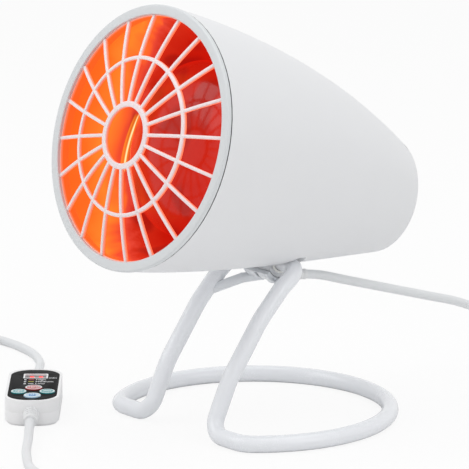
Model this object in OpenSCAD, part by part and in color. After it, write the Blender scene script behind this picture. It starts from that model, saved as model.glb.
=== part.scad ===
// Infrared heat lamp: a tilting reflector head on a bent tube stand, with an
// inline timer controller on its mains cord. Millimetres, +Z up, the lamp
// faces -Y, the origin is on the floor under the middle of the lamp.

/* [Head shell] */
// Length of the head, from the front of the bezel to the flat rear wall
head_len = 231.5; // [200:0.5:260]
// Outer radius at the front
rim_r = 93.4; // [88:0.1:104]
// Radius lost evenly along the length
even_taper = 18.1; // [12:0.1:24]
// Radius lost more and more toward the rear
rear_taper = 33; // [26:0.1:38]
// How far the middle sections rise above the lamp's own axis
mid_rise = 5.5; // [2:0.1:8]
// How far the rear sections drop below that rise
rear_drop = 11.4; // [8:0.1:15]
// Wall of the shell
shell_wall = 2.5; // [2:0.1:3.5]
// Angle by which the head looks up at rest
head_pitch = 16.2; // [10:0.1:22]

/* [Bezel and grille] */
// Width of the bezel ring, seen from the front
bezel_w = 7.1; // [6.5:0.1:10]
// Depth of the bezel in front of the seam
bezel_depth = 3.5; // [3:0.1:6]
// Width of the seam between bezel and shell
seam = 0.6; // [0.3:0.1:1]
// Depth of the bezel's spigot inside the shell
spigot_depth = 5.9; // [5:0.1:8]
// Number of spokes
spokes = 20; // [12:2:28]
// Width of a spoke
spoke_w = 2.5; // [1.8:0.1:3.2]
// Depth of the spokes and rings
spoke_depth = 3.2; // [2:0.1:4]
// Radius of the sphere that the grille is domed to
dome_r = 257; // [220:1:320]
// Middle radius of the open hub ring
hub_r = 21.8; // [16:0.1:28]
// Width of the hub ring
hub_w = 4.2; // [3:0.1:6]
// Middle radius of the second ring
ring_r = 55; // [42:0.5:68]
// Width of the second ring
ring_w = 2.8; // [2:0.1:4]

/* [Reflector and bulb] */
// Radius of the reflector's mouth
mouth_r = 84.5; // [80:0.1:84.9]
// Radius of the reflector's neck opening
neck_hole_r = 27; // [24:0.5:32]
// Length of the reflector's bowl
bowl_len = 117; // [108:1:119]
// Thickness of the reflector's sheet
sheet = 0.8; // [0.6:0.1:1.2]
// Largest radius of the bulb
bulb_r = 62.5; // [54:0.5:66]
// Depth of the middle of the bulb's face behind the front of the bezel
face_depth = 28; // [22:0.5:34]
// Length of the bulb's domed front
face_dome = 24; // [16:0.5:28]
// Length of the bulb's tapering back
bulb_back = 78; // [66:1:84]
// Radius of the bulb's neck
neck_r = 20; // [16:0.5:22]
// Wall of the bulb's glass
glass_wall = 1; // [0.7:0.1:1.4]
// Radius of the screw cap over its thread
cap_r = 13.2; // [13:0.1:13.3]
// Length of the screw cap
cap_len = 25; // [22:0.5:28]
// Pitch of the screw cap's thread
cap_pitch = 3.6; // [3:0.1:4.4]
// Radius of the filament's arc
filament_r = 22; // [16:0.5:30]

/* [Lampholder] */
// Outer radius of the ceramic lampholder
holder_r = 19.5; // [17.5:0.1:22]
// Length of the ceramic lampholder
holder_len = 46; // [42:0.5:48]
// Width of the lampholder's bracket
bracket_w = 74; // [70:1:78]
// Height of the lampholder's bracket
bracket_h = 44; // [40:1:48]
// Thickness of the lampholder's bracket
bracket_t = 2; // [1.5:0.1:3]

/* [Stand] */
// Radius of the bent tube
tube_r = 6; // [5:0.1:7]
// Wall of the bent tube
tube_wall = 1.5; // [1:0.1:2]
// Radius of the base loop, at the middle of the tube
loop_r = 97.2; // [90:0.1:110]
// Distance of the loop's centre behind the middle of the stand
loop_back = 3; // [-5:0.5:10]
// Angle at which the loop's front ends straighten
loop_open = 38; // [30:1:45]
// Distance of each leg from the middle
leg_x = 34.7; // [32:0.1:38]
// Distance of the feet in front of the middle
foot_front = 64.8; // [58:0.1:72]
// Radius of the bend at each foot
foot_bend = 13; // [10:0.5:16]
// Radius of the bend from the foot bar into the loop
loop_bend = 18; // [12:0.5:20]
// Bow of the leg near its foot
bow_low = 8.6; // [6:0.1:11]
// Bow of the leg just above its middle
bow_mid = 9.7; // [7:0.1:12]
// Bow of the leg near its top
bow_high = 6.2; // [5:0.1:8]
// Radius of the leg's gentle bends
leg_bend = 60; // [30:1:70]
// Radius of the bend from the leg into its pivot end
top_bend = 12; // [10:0.5:13]

/* [Tilt joint] */
// Height of the tilt axis
pivot_h = 113; // [105:0.5:125]
// Distance of the tilt axis behind the middle of the stand
pivot_back = 16.5; // [10:0.5:22]
// Distance of the tilt axis behind the front of the bezel, along the head
pivot_along = 142; // [134:0.5:150]
// How far the tilt axis lies inside the shell's underside
pivot_inset = 2.7; // [2:0.1:3.4]
// Half the width of the pivot block
block_x = 13; // [12:0.5:15]
// Radius of the pivot block round the tilt axis
block_r = 10.5; // [10.2:0.1:11.5]
// Wall of the bushes
bush_wall = 1.45; // [1:0.05:2]
// Gap between each pivot end and the middle of the block
pin_gap = 6.5; // [5:0.5:7.5]
// Running clearance of a pin in its bush
run_fit = 0.05; // [0.02:0.01:0.1]
// Clearance of a piece that is pressed or screwed in place
seat_fit = 0.05; // [0.03:0.01:0.1]
// Clearance between the pivot block and the saddle under it
saddle_gap = 0.5; // [0.3:0.1:1]
// Wall of the saddle
saddle_wall = 3.5; // [2.5:0.1:4.5]
// Angle below the horizontal at which the saddle begins, front and rear
saddle_from = 28; // [28:1:31]
// Travel of the head tilting back
tilt_back = 10; // [6:1:10]
// Travel of the head tilting forward
tilt_forward = 20; // [10:1:20]
// Radius of the stop screw
stop_r = 1.5; // [1.2:0.1:2]
// Angle of the stop screw below the horizontal at rest
stop_angle = 50; // [50:1:54]
// Radius of the brace's arms
arm_r = 3.6; // [3:0.1:4.2]

/* [Cord] */
// Diameter of the mains cord
cord_d = 6.6; // [6:0.1:7.2]
// Length of a strain relief
relief_len = 20; // [18:0.5:26]
// Radius of a strain relief where it leaves its housing
relief_r = 5.2; // [4.6:0.1:5.6]
// Angle at which the cord leaves the stand, below the horizontal
cord_dip = 6; // [2:1:10]

/* [Controller] */
// Width of the controller
ctl_w = 38.6; // [37:0.1:42]
// Length of the controller
ctl_l = 88.6; // [86:0.1:96]
// Height of the controller
ctl_h = 19; // [18:0.1:22]
// Radius of the controller's corners
ctl_corner = 14; // [12:0.5:16]
// Wall of the controller's shells
ctl_wall = 2; // [1.6:0.1:2.4]
// Margin of the shell round the face plate
plate_margin = 1.8; // [1.2:0.1:2.4]
// Thickness of the face plate
plate_t = 0.8; // [0.6:0.1:1.2]
// Radius of the temperature and power buttons
big_button_r = 6.1; // [5.4:0.1:6.6]
// Radius of the plus and minus buttons
small_button_r = 5.5; // [4.8:0.1:6]
// Travel of a button
button_travel = 0.6; // [0.3:0.1:0.8]
// Clearance round a button
button_fit = 0.15; // [0.1:0.05:0.3]
// Width of the display's frame
display_w = 17.9; // [16:0.1:19]
// Height of the display's frame
display_h = 12.6; // [11:0.1:13.5]

/* [Plug] */
// Length of the plug's body
plug_len = 36; // [30:1:44]
// Width of the plug's body
plug_w = 36; // [32:1:40]
// Radius of a plug pin
plug_pin_r = 2.4; // [2:0.1:2.5]
// Length of a plug pin
plug_pin_len = 19; // [17:0.5:22]
// Spacing of the two plug pins
plug_pitch = 19; // [17:0.5:21]

/* [Hidden] */
$fn = 64;

// Counts of the shell's facets
shell_sides = 64;
shell_steps = 14;
// Distance by which a cut runs past the solid it cuts
past = 1;

// Radius of the shell's section at share t of its length
function shell_r(t) = rim_r - even_taper * t - rear_taper * t * t;
// How far the section's centre lies below the head's axis
function shell_drop(t) = rear_drop * t * t * t - mid_rise * t;
// Height of the underside at share t, on the head's axes
function underside(t) = -shell_r(t) - shell_drop(t);

// The head's own frame: front of the bezel at y = 0, y runs to the rear
front_y = bezel_depth + seam;
pivot_t = pivot_along / head_len;
pivot_z = underside(pivot_t) + pivot_inset;
skin_slope = atan((even_taper + 2 * rear_taper * pivot_t - 3 * rear_drop * pivot_t * pivot_t
  + mid_rise) / head_len);
head_at = [
  0,
  pivot_back - pivot_along * cos(head_pitch) - pivot_z * sin(head_pitch),
  pivot_h + pivot_along * sin(head_pitch) - pivot_z * cos(head_pitch)
];
// Middle of the lamp from front to rear, where the origin is set
front_most = head_at.y - rim_r * sin(head_pitch);
rear_most = head_at.y + head_len * cos(head_pitch)
  + (shell_r(1) - shell_drop(1)) * sin(head_pitch);
mid_y = (front_most + rear_most) / 2;

// Bezel, grille and reflector
bezel_in = rim_r - bezel_w;
bezel_lip = 2.4;
rear_face = front_y + spigot_depth;
flat_share = cos(180 / shell_sides);
spigot_r = (shell_r(rear_face / head_len) - shell_wall) * flat_share - 0.3;
seam_in = 1.2;
grille_rim_r = spigot_r - 1.7;
rim_fit = 0.2;
rim_wall = 2.3;
edge_y = 1.4;
dome_y = edge_y + sqrt(dome_r * dome_r - bezel_in * bezel_in);
barb_w = 8;
barb_h = 2;
barb_out = 1.3;
barb_fit = 0.3;
barbs = 4;
bowl_y = rear_face + 1;
ledge_t = 2.5;

// Bulb and lampholder
bulb_widest_y = face_depth + face_dome;
neck_y = bulb_widest_y + bulb_back;
neck_len = 18;
cap_y = neck_y + neck_len;
throat_r = cap_r - 0.9;
thread_depth = 0.6;
tip_r = 4.5;
tip_y = cap_y + cap_len + 3;
holder_y = cap_y - 1;
holder_floor = 8;
thread_wall = 0.5;
holder_end = holder_y + holder_len;
bracket_y = holder_end;
boss_x = 30;
boss_r = 4.5;
screw_r = 1.45;
screw_head_r = 2.7;
holder_screw_x = 10;

// Tilt joint
bush_r = tube_r + run_fit + bush_wall;
bore_r = bush_r + seat_fit;
trough_r = 8.2;
trough_wall = 2;
trough_x = 38;
plate_y = 17.5;
cap_screw_x = 9;
cap_screw_y = 14;
// Height of the seats of the cap's screw heads, on the pivot's frame
cap_seat_z = -0.9;
upper_block_h = 14;
saddle_in = block_r + saddle_gap;
saddle_out = saddle_in + saddle_wall;
slot_fit = 0.3;
lead_r = 2.2;
lead_fit = 0.3;
pivot_at = [0, pivot_back, pivot_h];
slope_now = head_pitch - skin_slope;
boss_from = pivot_at + [0, 4, -saddle_out + 1.8];
boss_len = 10;
boss_dir = [0, cos(cord_dip), -sin(cord_dip)];
cord_boss_r = relief_r;
relief_from = boss_from + boss_dir * boss_len;
relief_tip = relief_from + boss_dir * relief_len;
relief_plug_len = 5;
relief_plug_r = 3.4;
lead_corner = boss_from + boss_dir * 2;

// Stand
foot_at = [-foot_front, tube_r];
leg_run = [pivot_back, pivot_h] - foot_at;
leg_out = [-leg_run.y, leg_run.x] / norm(leg_run);
function leg_corner(share, bow) = foot_at + leg_run * share + leg_out * bow;
knee_low = leg_corner(0.288, bow_low);
knee_mid = leg_corner(0.646, bow_mid);
knee_high = leg_corner(0.857, bow_high);
loop_end = [loop_r * cos(loop_open), loop_back - loop_r * sin(loop_open)];
bar_end_x = loop_end.x - tan(loop_open) * (loop_end.y + foot_front);
leg_points = [
  [pin_gap, pivot_back, pivot_h],
  [leg_x, pivot_back, pivot_h],
  [leg_x, knee_high.x, knee_high.y],
  [leg_x, knee_mid.x, knee_mid.y],
  [leg_x, knee_low.x, knee_low.y],
  [leg_x, foot_at.x, foot_at.y],
  [bar_end_x, foot_at.x, foot_at.y],
  [loop_end.x, loop_end.y, tube_r]
];
leg_radii = [top_bend, leg_bend / 2, leg_bend, leg_bend, foot_bend, loop_bend];
arm_share = 0.33;
arm_root = leg_points[3] + (leg_points[2] - leg_points[3]) * arm_share;
arm_mid = pivot_at + [20, -7.9, -16];
arm_tip = pivot_at + [10, 2.3, -saddle_out + 1];

// Controller, in its own frame: x across, y along, z up from the floor
ctl_at = [-112, -111, 0];
ctl_turn = 50.6;
ctl_split = ctl_h / 2;
ctl_roof = 1.2;
plate_z = ctl_h - plate_t - 0.2;
plate_w = ctl_w - 2 * plate_margin;
plate_l = ctl_l - 2 * plate_margin;
plate_corner = ctl_corner + 1;
board_t = 1.6;
board_z = ctl_split - board_t - 0.5;
board_fit = 0.8;
// How far the pocket under the board is drawn in, on the sides and at the ends
board_step = [2, 4];
post_x = 12;
post_y = 35;
post_r = 2.6;
ctl_screw_r = 1.1;
display_at = [0.4, 24.6];
frame_w = 1.2;
led_x = -6.7;
led_ys = [14.6, 9.1, 3.4];
led_r = 0.95;
temp_at = [0.3, -8.6];
plus_at = [-9.9, -19.6];
minus_at = [10.4, -19.3];
power_at = [0.2, -30.4];
button_spots = [
  [temp_at, big_button_r], [plus_at, small_button_r],
  [minus_at, small_button_r], [power_at, big_button_r]
];
button_proud = 0.5;
button_flange = 1.1;
button_flange_t = 1;
button_top = ctl_h + button_proud;
button_ledge = plate_z - ctl_roof - button_travel / 2;
switch_top = button_ledge - button_flange_t - button_travel - 0.2;
ctl_cord_z = 9;
ctl_relief_r = 5.7;

// Cord routes, in the finished lamp's own frame
cord_r = cord_d / 2;
cord_sides = 8;
cord_step = 3 * cord_d;
lead_route = [
  [0, 64, 94], [0, 82, 88.5], [0, 110, 80], [0, 140, 71], [0, 170, 62], [0, 196, 54],
  [3, 216, 45], [12, 232, 32], [28, 240, 18], [48, 238, 8], [70, 227, 3.4], [100, 205, 3.4],
  [150, 160, 3.4], [205, 100, 3.4], [235, 50, 3.4], [244, 0, 3.4], [236, -55, 3.4],
  [212, -110, 3.4], [170, -165, 3.4], [120, -200, 3.4], [70, -217, 3.4], [25, -214, 3.4],
  [-10, -194, 3.8], [-36, -173, 6]
];
tail_route = [
  [-184, -52, 7], [-206, -35, 4], [-231, -22, 3.4], [-259, -16, 3.4], [-286, -15.5, 3.4]
];
coil_at = [-314, -54, cord_r];
coil_r = 38.5;
coil_pitch = 8.3;
coil_layer = 7.1;
inward_turns = 1;
coil_steps = 24;
coil_sides = 6;
plug_h = 2 * (cord_r + coil_layer);
plug_run = 16;
plug_at = [coil_at.x + plug_run, coil_at.y - coil_r, plug_h / 2];
// Each pin has a thinner root inside the plug, and a short neck outside it
pin_root = 12;
pin_root_r = plug_pin_r - 0.6;
pin_neck = 0.4;
pin_tip = 1;

// ---------------------------------------------------------------- helpers

function unit(v) = v / norm(v);
function aim(v) = [0, acos(v.z / norm(v)), atan2(v.y, v.x)];

// Moves the lamp so that the origin is under its middle
module placed() {
  translate([0, -mid_y, 0]) children();
}

// Puts a piece that is drawn on the head's own axes in its place
module on_head() {
  placed() translate(head_at) rotate([-head_pitch, 0, 0]) children();
}

// Frame on the tilt axis, with y along the shell's underside
module on_pivot() {
  translate([0, pivot_along, pivot_z]) rotate([skin_slope, 0, 0]) children();
}

// Turns a profile of [radius, depth] points round the head's axis
module turned(points) {
  rotate([-90, 0, 0]) rotate_extrude() polygon(points);
}

// Cylinder along the x axis, centred
module across(r, w) {
  rotate([0, 90, 0]) cylinder(h = w, r = r, center = true);
}

// Straight rod between two points
module rod(a, b, r) {
  translate(a) rotate(aim(b - a)) cylinder(h = norm(b - a), r = r);
}

// Direction, square to the heading, toward which a bend turns
function toward(ahead, next) = unit(next - (next * ahead) * ahead);
// That direction at the far end of a bend of angle a
function carried(ahead, side, a) = cos(a) * side - sin(a) * ahead;
// Twist about the heading from one bend's plane to the next bend's
function twist(before, side, ahead) = atan2(cross(before, side) * ahead, before * side);

// Straight stretch and bend of a round bar, or of a tube if it has a bore
module straight(h, r, bore) {
  difference() {
    cylinder(h = h, r = r);
    if (bore > 0) translate([0, 0, -past]) cylinder(h = h + 2 * past, r = bore);
  }
}

module bend(angle, bend_r, r, bore) {
  rotate([90, 0, 0]) translate([-bend_r, 0, 0])
    rotate_extrude(angle = angle) translate([bend_r, 0]) difference() {
      circle(r = r);
      if (bore > 0) circle(r = bore);
    }
}

// Straights and bends one after another, each in the frame that the last one
// ends in: a bend is [twist, angle, radius], and there is one straight more.
// A bend is a hair thinner than the straights, which lap over its ends. Where
// the run is joined to something, its last straight is thinner again.
lap = 0.3;
lap_step = 0.02;
module follow(straights, bends, r, bore = 0, joined = false, i = 0) {
  last = i == len(bends);
  thinner = last && joined ? 2 * lap_step : 0;
  back = i == 0 ? 0 : lap;
  on = last && !joined ? 0 : lap;
  translate([0, 0, -back])
    straight(straights[i] + back + on, r - thinner, bore > 0 ? bore + thinner : 0);
  if (!last) {
    angle = bends[i][1];
    bend_r = bends[i][2];
    translate([0, 0, straights[i]]) rotate([0, 0, bends[i][0]]) {
      bend(angle, bend_r, r - lap_step, bore > 0 ? bore + lap_step : 0);
      translate([-bend_r * (1 - cos(angle)), 0, bend_r * sin(angle)]) rotate([0, -angle, 0])
        follow(straights, bends, r, bore, joined, i + 1);
    }
  }
}

// Starting frame of a run: z along the heading, -x toward the first bend
module start_frame(at, ahead, side) {
  ex = -side;
  ey = cross(ahead, ex);
  multmatrix([
    [ex.x, ey.x, ahead.x, at.x],
    [ex.y, ey.y, ahead.y, at.y],
    [ex.z, ey.z, ahead.z, at.z],
    [0, 0, 0, 1]
  ]) children();
}

// Headings, turns, straights and bends of a run through corners
function headings(p) = [for (i = [0 : len(p) - 2]) unit(p[i + 1] - p[i])];
function turns(h) = [for (i = [0 : len(h) - 2]) acos(h[i] * h[i + 1])];
function cut_backs(a, radii) = concat(
  [0], [for (i = [0 : len(a) - 1]) radii[i] * tan(a[i] / 2)], [0]
);
function straight_runs(p, cuts) = [
  for (i = [0 : len(p) - 2]) norm(p[i + 1] - p[i]) - cuts[i] - cuts[i + 1]
];
function sides(h) = [for (i = [0 : len(h) - 2]) toward(h[i], h[i + 1])];
function bend_list(h, a, e, radii) = [
  for (i = [0 : len(a) - 1])
    [i == 0 ? 0 : twist(carried(h[i - 1], e[i - 1], a[i - 1]), e[i], h[i]), a[i], radii[i]]
];

// Ball where two rods meet, a hair thicker than they are
knuckle = 0.15;
module ball(at, r) {
  translate(at) sphere(r = r + knuckle);
}

// Rod through points, with a ball at each corner, into which the stretches
// run a little past its middle
ball_run = 0.4;
module jointed_rod(points, r) {
  last = len(points) - 2;
  for (i = [0 : last]) {
    ahead = unit(points[i + 1] - points[i]);
    rod(points[i] - (i > 0 ? ball_run : 0) * ahead, points[i + 1] + (i < last ? ball_run : 0) * ahead, r);
  }
  for (i = [1 : 1 : last]) ball(points[i], r);
}

// Closed skin over rings of equal counts, with a point that closes each end
module skin(rings, start, end) {
  m = len(rings[0]);
  n = len(rings);
  points = concat([for (ring = rings) each ring], [start, end]);
  faces = concat(
    [for (j = [0 : m - 1]) [n * m, (j + 1) % m, j]],
    [for (i = [0 : n - 2], j = [0 : m - 1]) [i * m + j, i * m + (j + 1) % m, (i + 1) * m + j]],
    [for (i = [0 : n - 2], j = [0 : m - 1])
      [i * m + (j + 1) % m, (i + 1) * m + (j + 1) % m, (i + 1) * m + j]],
    [for (j = [0 : m - 1]) [n * m + 1, (n - 1) * m + j, (n - 1) * m + (j + 1) % m]]
  );
  polyhedron(points = points, faces = faces, convexity = 10);
}

// Smooth curve through hand-placed points
function spline(p, i, t) =
  let (
    last = len(p) - 1,
    a = p[max(i - 1, 0)], b = p[i], c = p[min(i + 1, last)], d = p[min(i + 2, last)]
  )
  0.5 * (2 * b + (c - a) * t + (2 * a - 5 * b + 4 * c - d) * t * t
    + (3 * b - a - 3 * c + d) * t * t * t);

// Curve cut into pieces no longer than a ring's spacing
function curve(p, step) = [
  for (i = [0 : len(p) - 2])
    let (parts = max(1, ceil(norm(p[i + 1] - p[i]) / step - 0.2)))
      for (k = [0 : parts - 1]) spline(p, i, k / parts),
  p[len(p) - 1]
];

// Direction of a line of points at point i
function heading(p, i) = unit(p[min(i + 1, len(p) - 1)] - p[max(i - 1, 0)]);

// Rings of a round cord along points, upright where it climbs little
function cord_rings(p, r, sides) = [
  for (i = [0 : len(p) - 1])
    let (
      h = heading(p, i),
      side = unit(cross(h, [0, 0, 1])),
      up = cross(side, h)
    )
      [for (j = [0 : sides - 1])
        p[i] + r * (cos(360 * (j + 0.5) / sides) * side + sin(360 * (j + 0.5) / sides) * up)]
];

module cord(p, r, sides) {
  skin(cord_rings(p, r, sides), p[0], p[len(p) - 1]);
}

// ---------------------------------------------------------------- head

function shell_ring(y, inset) = [
  for (j = [0 : shell_sides - 1])
    let (a = -360 * j / shell_sides, r = shell_r(y / head_len) - inset)
      [r * cos(a), y, r * sin(a) - shell_drop(y / head_len)]
];

// Depths of the shell's rings, with a small rounding at the rear edge
rear_round = 1.2;
outer_ys = [for (i = [0 : shell_steps]) front_y + (head_len - rear_round - front_y) * i / shell_steps];
inner_end = head_len - shell_wall;
inner_ys = [for (i = [0 : shell_steps]) front_y + (inner_end - front_y) * i / shell_steps];

// Solid that ends inside the shell's wall round the tilt joint, for trimming
// what is moulded to the inside there
trim_from = 0.38;
trim_to = 0.84;
module trim_solid() {
  ts = [for (i = [0 : 8]) trim_from + (trim_to - trim_from) * i / 8];
  translate([0, 0, -shell_drop(pivot_t)]) turned(concat(
    [[0, trim_from * head_len]],
    [for (t = ts) [shell_r(t) - shell_wall / 2, t * head_len]],
    [[0, trim_to * head_len]]
  ));
}

module shell_skin() {
  skin(
    concat([shell_ring(head_len, rear_round)],
      [for (i = [shell_steps : -1 : 0]) shell_ring(outer_ys[i], 0)],
      [for (y = inner_ys) shell_ring(y, shell_wall)]),
    [0, head_len, -shell_drop(1)],
    [0, inner_end, -shell_drop(inner_end / head_len)]
  );
}

// Ledge for the reflector and bosses for the bracket
module ledge_and_bosses() {
  ledge_out = spigot_r + 1.5;
  turned([
    [mouth_r + 1.5, bowl_y], [ledge_out, bowl_y], [ledge_out, bowl_y + ledge_t],
    [mouth_r + 1.5, bowl_y + ledge_t]
  ]);
  for (s = [-1, 1])
    translate([s * boss_x, bracket_y + bracket_t, -shell_drop(1)]) rotate([-90, 0, 0])
      cylinder(h = head_len - bracket_y - bracket_t - 1, r = boss_r);
}

// Upper half of the pivot block, and the walls of the trough for the leg tops
module pivot_walls() {
  intersection() {
    on_pivot() {
      across(trough_r + trough_wall, 2 * trough_x);
      translate([-block_x - 3, -plate_y - 3, -shell_wall - 2])
        cube([2 * block_x + 6, 2 * plate_y + 6, upper_block_h + shell_wall + 2]);
    }
    trim_solid();
  }
}

// Cooling slots in two rows over the top of the rear edge
module vent_slots() {
  slot_w = 2.2;
  slot_l = 5;
  for (row = [0, 1], k = [-3 : 3]) {
    y = head_len - 13 + 8.5 * row;
    r = shell_r(y / head_len);
    translate([0, y, -shell_drop(y / head_len)]) rotate([0, 9 * k + 4.5 * row, 0])
      translate([-slot_w / 2, -slot_l / 2, r - 6]) cube([slot_w, slot_l, 12]);
  }
}

module barb_set(grow) {
  for (k = [0 : barbs - 1])
    rotate([0, 45 + 360 * k / barbs, 0])
      translate([-barb_w / 2 - grow, rear_face - 3.4 - grow, spigot_r - 1])
        cube([barb_w + 2 * grow, barb_h + 2 * grow, 1 + barb_out + grow]);
}

module housing() {
  color("#e4e4e5") on_head() difference() {
    union() {
      shell_skin();
      ledge_and_bosses();
      pivot_walls();
    }
    barb_set(barb_fit);
    vent_slots();
    on_pivot() {
      for (s = [-1, 1])
        translate([s * (block_x + trough_x) / 2, 0, 0]) across(trough_r, trough_x - block_x + 0.02);
      across(bore_r, 2 * block_x + past);
      translate([-block_x - 0.2, -plate_y - 0.2, -10]) cube([2 * block_x + 0.4, 2 * plate_y + 0.4, 10]);
      cylinder(h = upper_block_h + past, r = lead_r + lead_fit);
      for (x = [-1, 1], y = [-1, 1])
        translate([x * cap_screw_x, y * cap_screw_y, -past])
          cylinder(h = 11 + past, r = screw_r + seat_fit);
    }
    for (s = [-1, 1])
      translate([s * boss_x, bracket_y, -shell_drop(1)]) rotate([-90, 0, 0])
        cylinder(h = 18, r = screw_r + seat_fit);
  }
}

module bezel_ring() {
  color("#d2d5d6") on_head() {
    turned([
      [bezel_in, 0], [rim_r - 0.6, 0], [rim_r, 0.6], [rim_r, bezel_depth],
      [rim_r - seam_in, bezel_depth], [rim_r - seam_in, front_y], [spigot_r, front_y],
      [spigot_r, rear_face], [grille_rim_r + rim_fit, rear_face],
      [grille_rim_r + rim_fit, bezel_lip], [bezel_in, bezel_lip]
    ]);
    barb_set(0);
  }
}

// Domed band between two radii, as thick as the spokes are deep
module dome_band(r_in, r_out) {
  steps = 10;
  rs = [for (i = [0 : steps]) r_in + (r_out - r_in) * i / steps];
  turned(concat(
    [for (r = rs) [r, dome_y - sqrt(dome_r * dome_r - r * r)]],
    [for (i = [steps : -1 : 0]) [rs[i], dome_y - sqrt(dome_r * dome_r - rs[i] * rs[i]) + spoke_depth]]
  ));
}

module grille() {
  spoke_end = bezel_in - 0.1;
  color("#dfe3e6") on_head() {
    intersection() {
      dome_band(hub_r, spoke_end);
      for (k = [0 : spokes - 1])
        rotate([0, 360 * (k + 0.5) / spokes, 0]) translate([-spoke_w / 2, -40, hub_r])
          cube([spoke_w, 60, spoke_end]);
    }
    dome_band(hub_r - hub_w / 2, hub_r + hub_w / 2);
    dome_band(ring_r - ring_w / 2, ring_r + ring_w / 2);
    turned([
      [grille_rim_r - rim_wall, bezel_lip + rim_fit / 2], [grille_rim_r, bezel_lip + rim_fit / 2],
      [grille_rim_r, rear_face - rim_fit / 2], [grille_rim_r - rim_wall, rear_face - rim_fit / 2]
    ]);
  }
}

// Radius of the reflector's bowl at depth y, a parabola
function bowl_r(y) = sqrt(neck_hole_r * neck_hole_r
  + (mouth_r * mouth_r - neck_hole_r * neck_hole_r) * (bowl_y + bowl_len - y) / bowl_len);

module reflector() {
  ys = [for (i = [0 : 14]) bowl_y + bowl_len * i / 14];
  color("#f4a070") on_head() turned(concat(
    [[mouth_r, rear_face], [spigot_r - 0.6, rear_face], [spigot_r - 0.6, bowl_y],
      [mouth_r + sheet, bowl_y]],
    [for (y = ys) [bowl_r(y) + sheet, y + 0.1]],
    [for (i = [14 : -1 : 0]) [bowl_r(ys[i]), ys[i]]]
  ));
}

// Half-profile of the bulb, drawn in by a wall
function bulb_profile(inset) = concat(
  [for (i = [0 : 10])
    let (a = 9 * i)
      [(bulb_r - inset) * sin(a), bulb_widest_y - (face_dome - inset) * cos(a)]],
  [for (i = [1 : 12])
    [neck_r - inset + (bulb_r - neck_r) * (1 + cos(15 * i)) / 2, bulb_widest_y + bulb_back * i / 12]],
  [[neck_r - inset, cap_y - 3 - inset], [throat_r - inset, cap_y - inset], [throat_r - inset, cap_y + 6]]
);

module bulb_glass() {
  outer = bulb_profile(0);
  inner = bulb_profile(glass_wall);
  color("#c81400") on_head()
    turned(concat(outer, [for (i = [len(inner) - 1 : -1 : 0]) inner[i]]));
}

module bulb_stem() {
  stem_r = 5;
  stem_y = neck_y - 40;
  color("#d8d8d8") on_head() {
    turned([
      [0, stem_y], [stem_r - 1, stem_y + 1], [stem_r, stem_y + 8], [stem_r, cap_y + 2],
      [throat_r - glass_wall - 0.1, cap_y + 4], [throat_r - glass_wall - 0.1, cap_y + 6], [0, cap_y + 6]
    ]);
    for (a = [-115, -38, 38, 115])
      rod([1.5 * sin(a), stem_y + 3, 1.5 * cos(a)],
        [filament_r * sin(a), stem_y - 6, filament_r * cos(a)], 0.5);
  }
}

module bulb_filament() {
  color("#ffd060") on_head() translate([0, neck_y - 46, 0]) rotate([-90, 0, 0]) rotate([0, 0, 155])
    rotate_extrude(angle = 230) translate([filament_r, 0]) circle(r = 0.9);
}

// Thread as rounded ridges, each a step in the wall's radius
function thread_steps(r, depth, y0, turns, pitch) = [
  for (k = [0 : turns - 1])
    for (s = [[0, 0], [0.5, -depth]])
      [r + s.y, y0 + pitch * (k + s.x)]
];

module bulb_cap() {
  turns = floor((cap_len - 6) / cap_pitch);
  color("#c9c9c4") on_head() {
    turned(concat(
      [[throat_r + seat_fit, cap_y], [cap_r, cap_y]],
      thread_steps(cap_r, thread_depth, cap_y + 4, turns, cap_pitch),
      [[cap_r - 0.4, cap_y + cap_len - 1], [tip_r + 2, cap_y + cap_len + 2], [tip_r, cap_y + cap_len + 2],
        [tip_r - 1, tip_y], [0, tip_y], [0, tip_y - 2], [tip_r, cap_y + cap_len],
        [throat_r - 1, cap_y + cap_len - 3], [throat_r - 1, cap_y + 6 + seat_fit],
        [throat_r + seat_fit, cap_y + 6 + seat_fit]]
    ));
  }
}

// Bore that holds the threaded sleeve
sleeve_r = cap_r + 0.1 + thread_wall;
holder_bore_r = sleeve_r + seat_fit;

module lampholder() {
  color("#f0ede4") on_head() difference() {
    turned([
      [0, holder_y + 2], [holder_r, holder_y + 2], [holder_r, holder_end - 6],
      [holder_r - 2, holder_end - 6], [holder_r - 2, holder_end], [0, holder_end]
    ]);
    translate([0, holder_y, 0]) rotate([-90, 0, 0])
      cylinder(h = holder_len - holder_floor, r = holder_bore_r);
    for (s = [-1, 1])
      translate([s * holder_screw_x, holder_end - 7, 0]) rotate([-90, 0, 0])
        cylinder(h = 7 + past, r = screw_r + seat_fit);
  }
}

module holder_thread() {
  color("#b08d4a") on_head()
    turned([
      [sleeve_r - thread_wall, holder_y + 3], [sleeve_r, holder_y + 3],
      [sleeve_r, holder_end - holder_floor - 0.1], [sleeve_r - thread_wall, holder_end - holder_floor - 0.1]
    ]);
}

module holder_contact() {
  color("#b08d4a") on_head() translate([0, tip_y + 0.2, 0]) rotate([-90, 0, 0]) {
    cylinder(h = 1.2, r = 3.5);
    cylinder(h = holder_end - holder_floor - tip_y - 0.2, r = 1.5);
  }
}

module holder_bracket() {
  color("#c4c6c8") on_head() difference() {
    translate([-bracket_w / 2, bracket_y, -bracket_h / 2]) cube([bracket_w, bracket_t, bracket_h]);
    for (x = [boss_x, holder_screw_x], s = [-1, 1])
      translate([s * x, bracket_y - past, x == boss_x ? -shell_drop(1) : 0]) rotate([-90, 0, 0])
        cylinder(h = bracket_t + 2 * past, r = screw_r + 0.2);
  }
}

// Pan-head screw along +y of the head, its shank starting at the head's seat
module pan_screw(len, flip) {
  rotate([flip ? 90 : -90, 0, 0]) {
    translate([0, 0, -1.8]) cylinder(h = 1.8, r = screw_head_r);
    cylinder(h = len, r = screw_r);
  }
}

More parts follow.
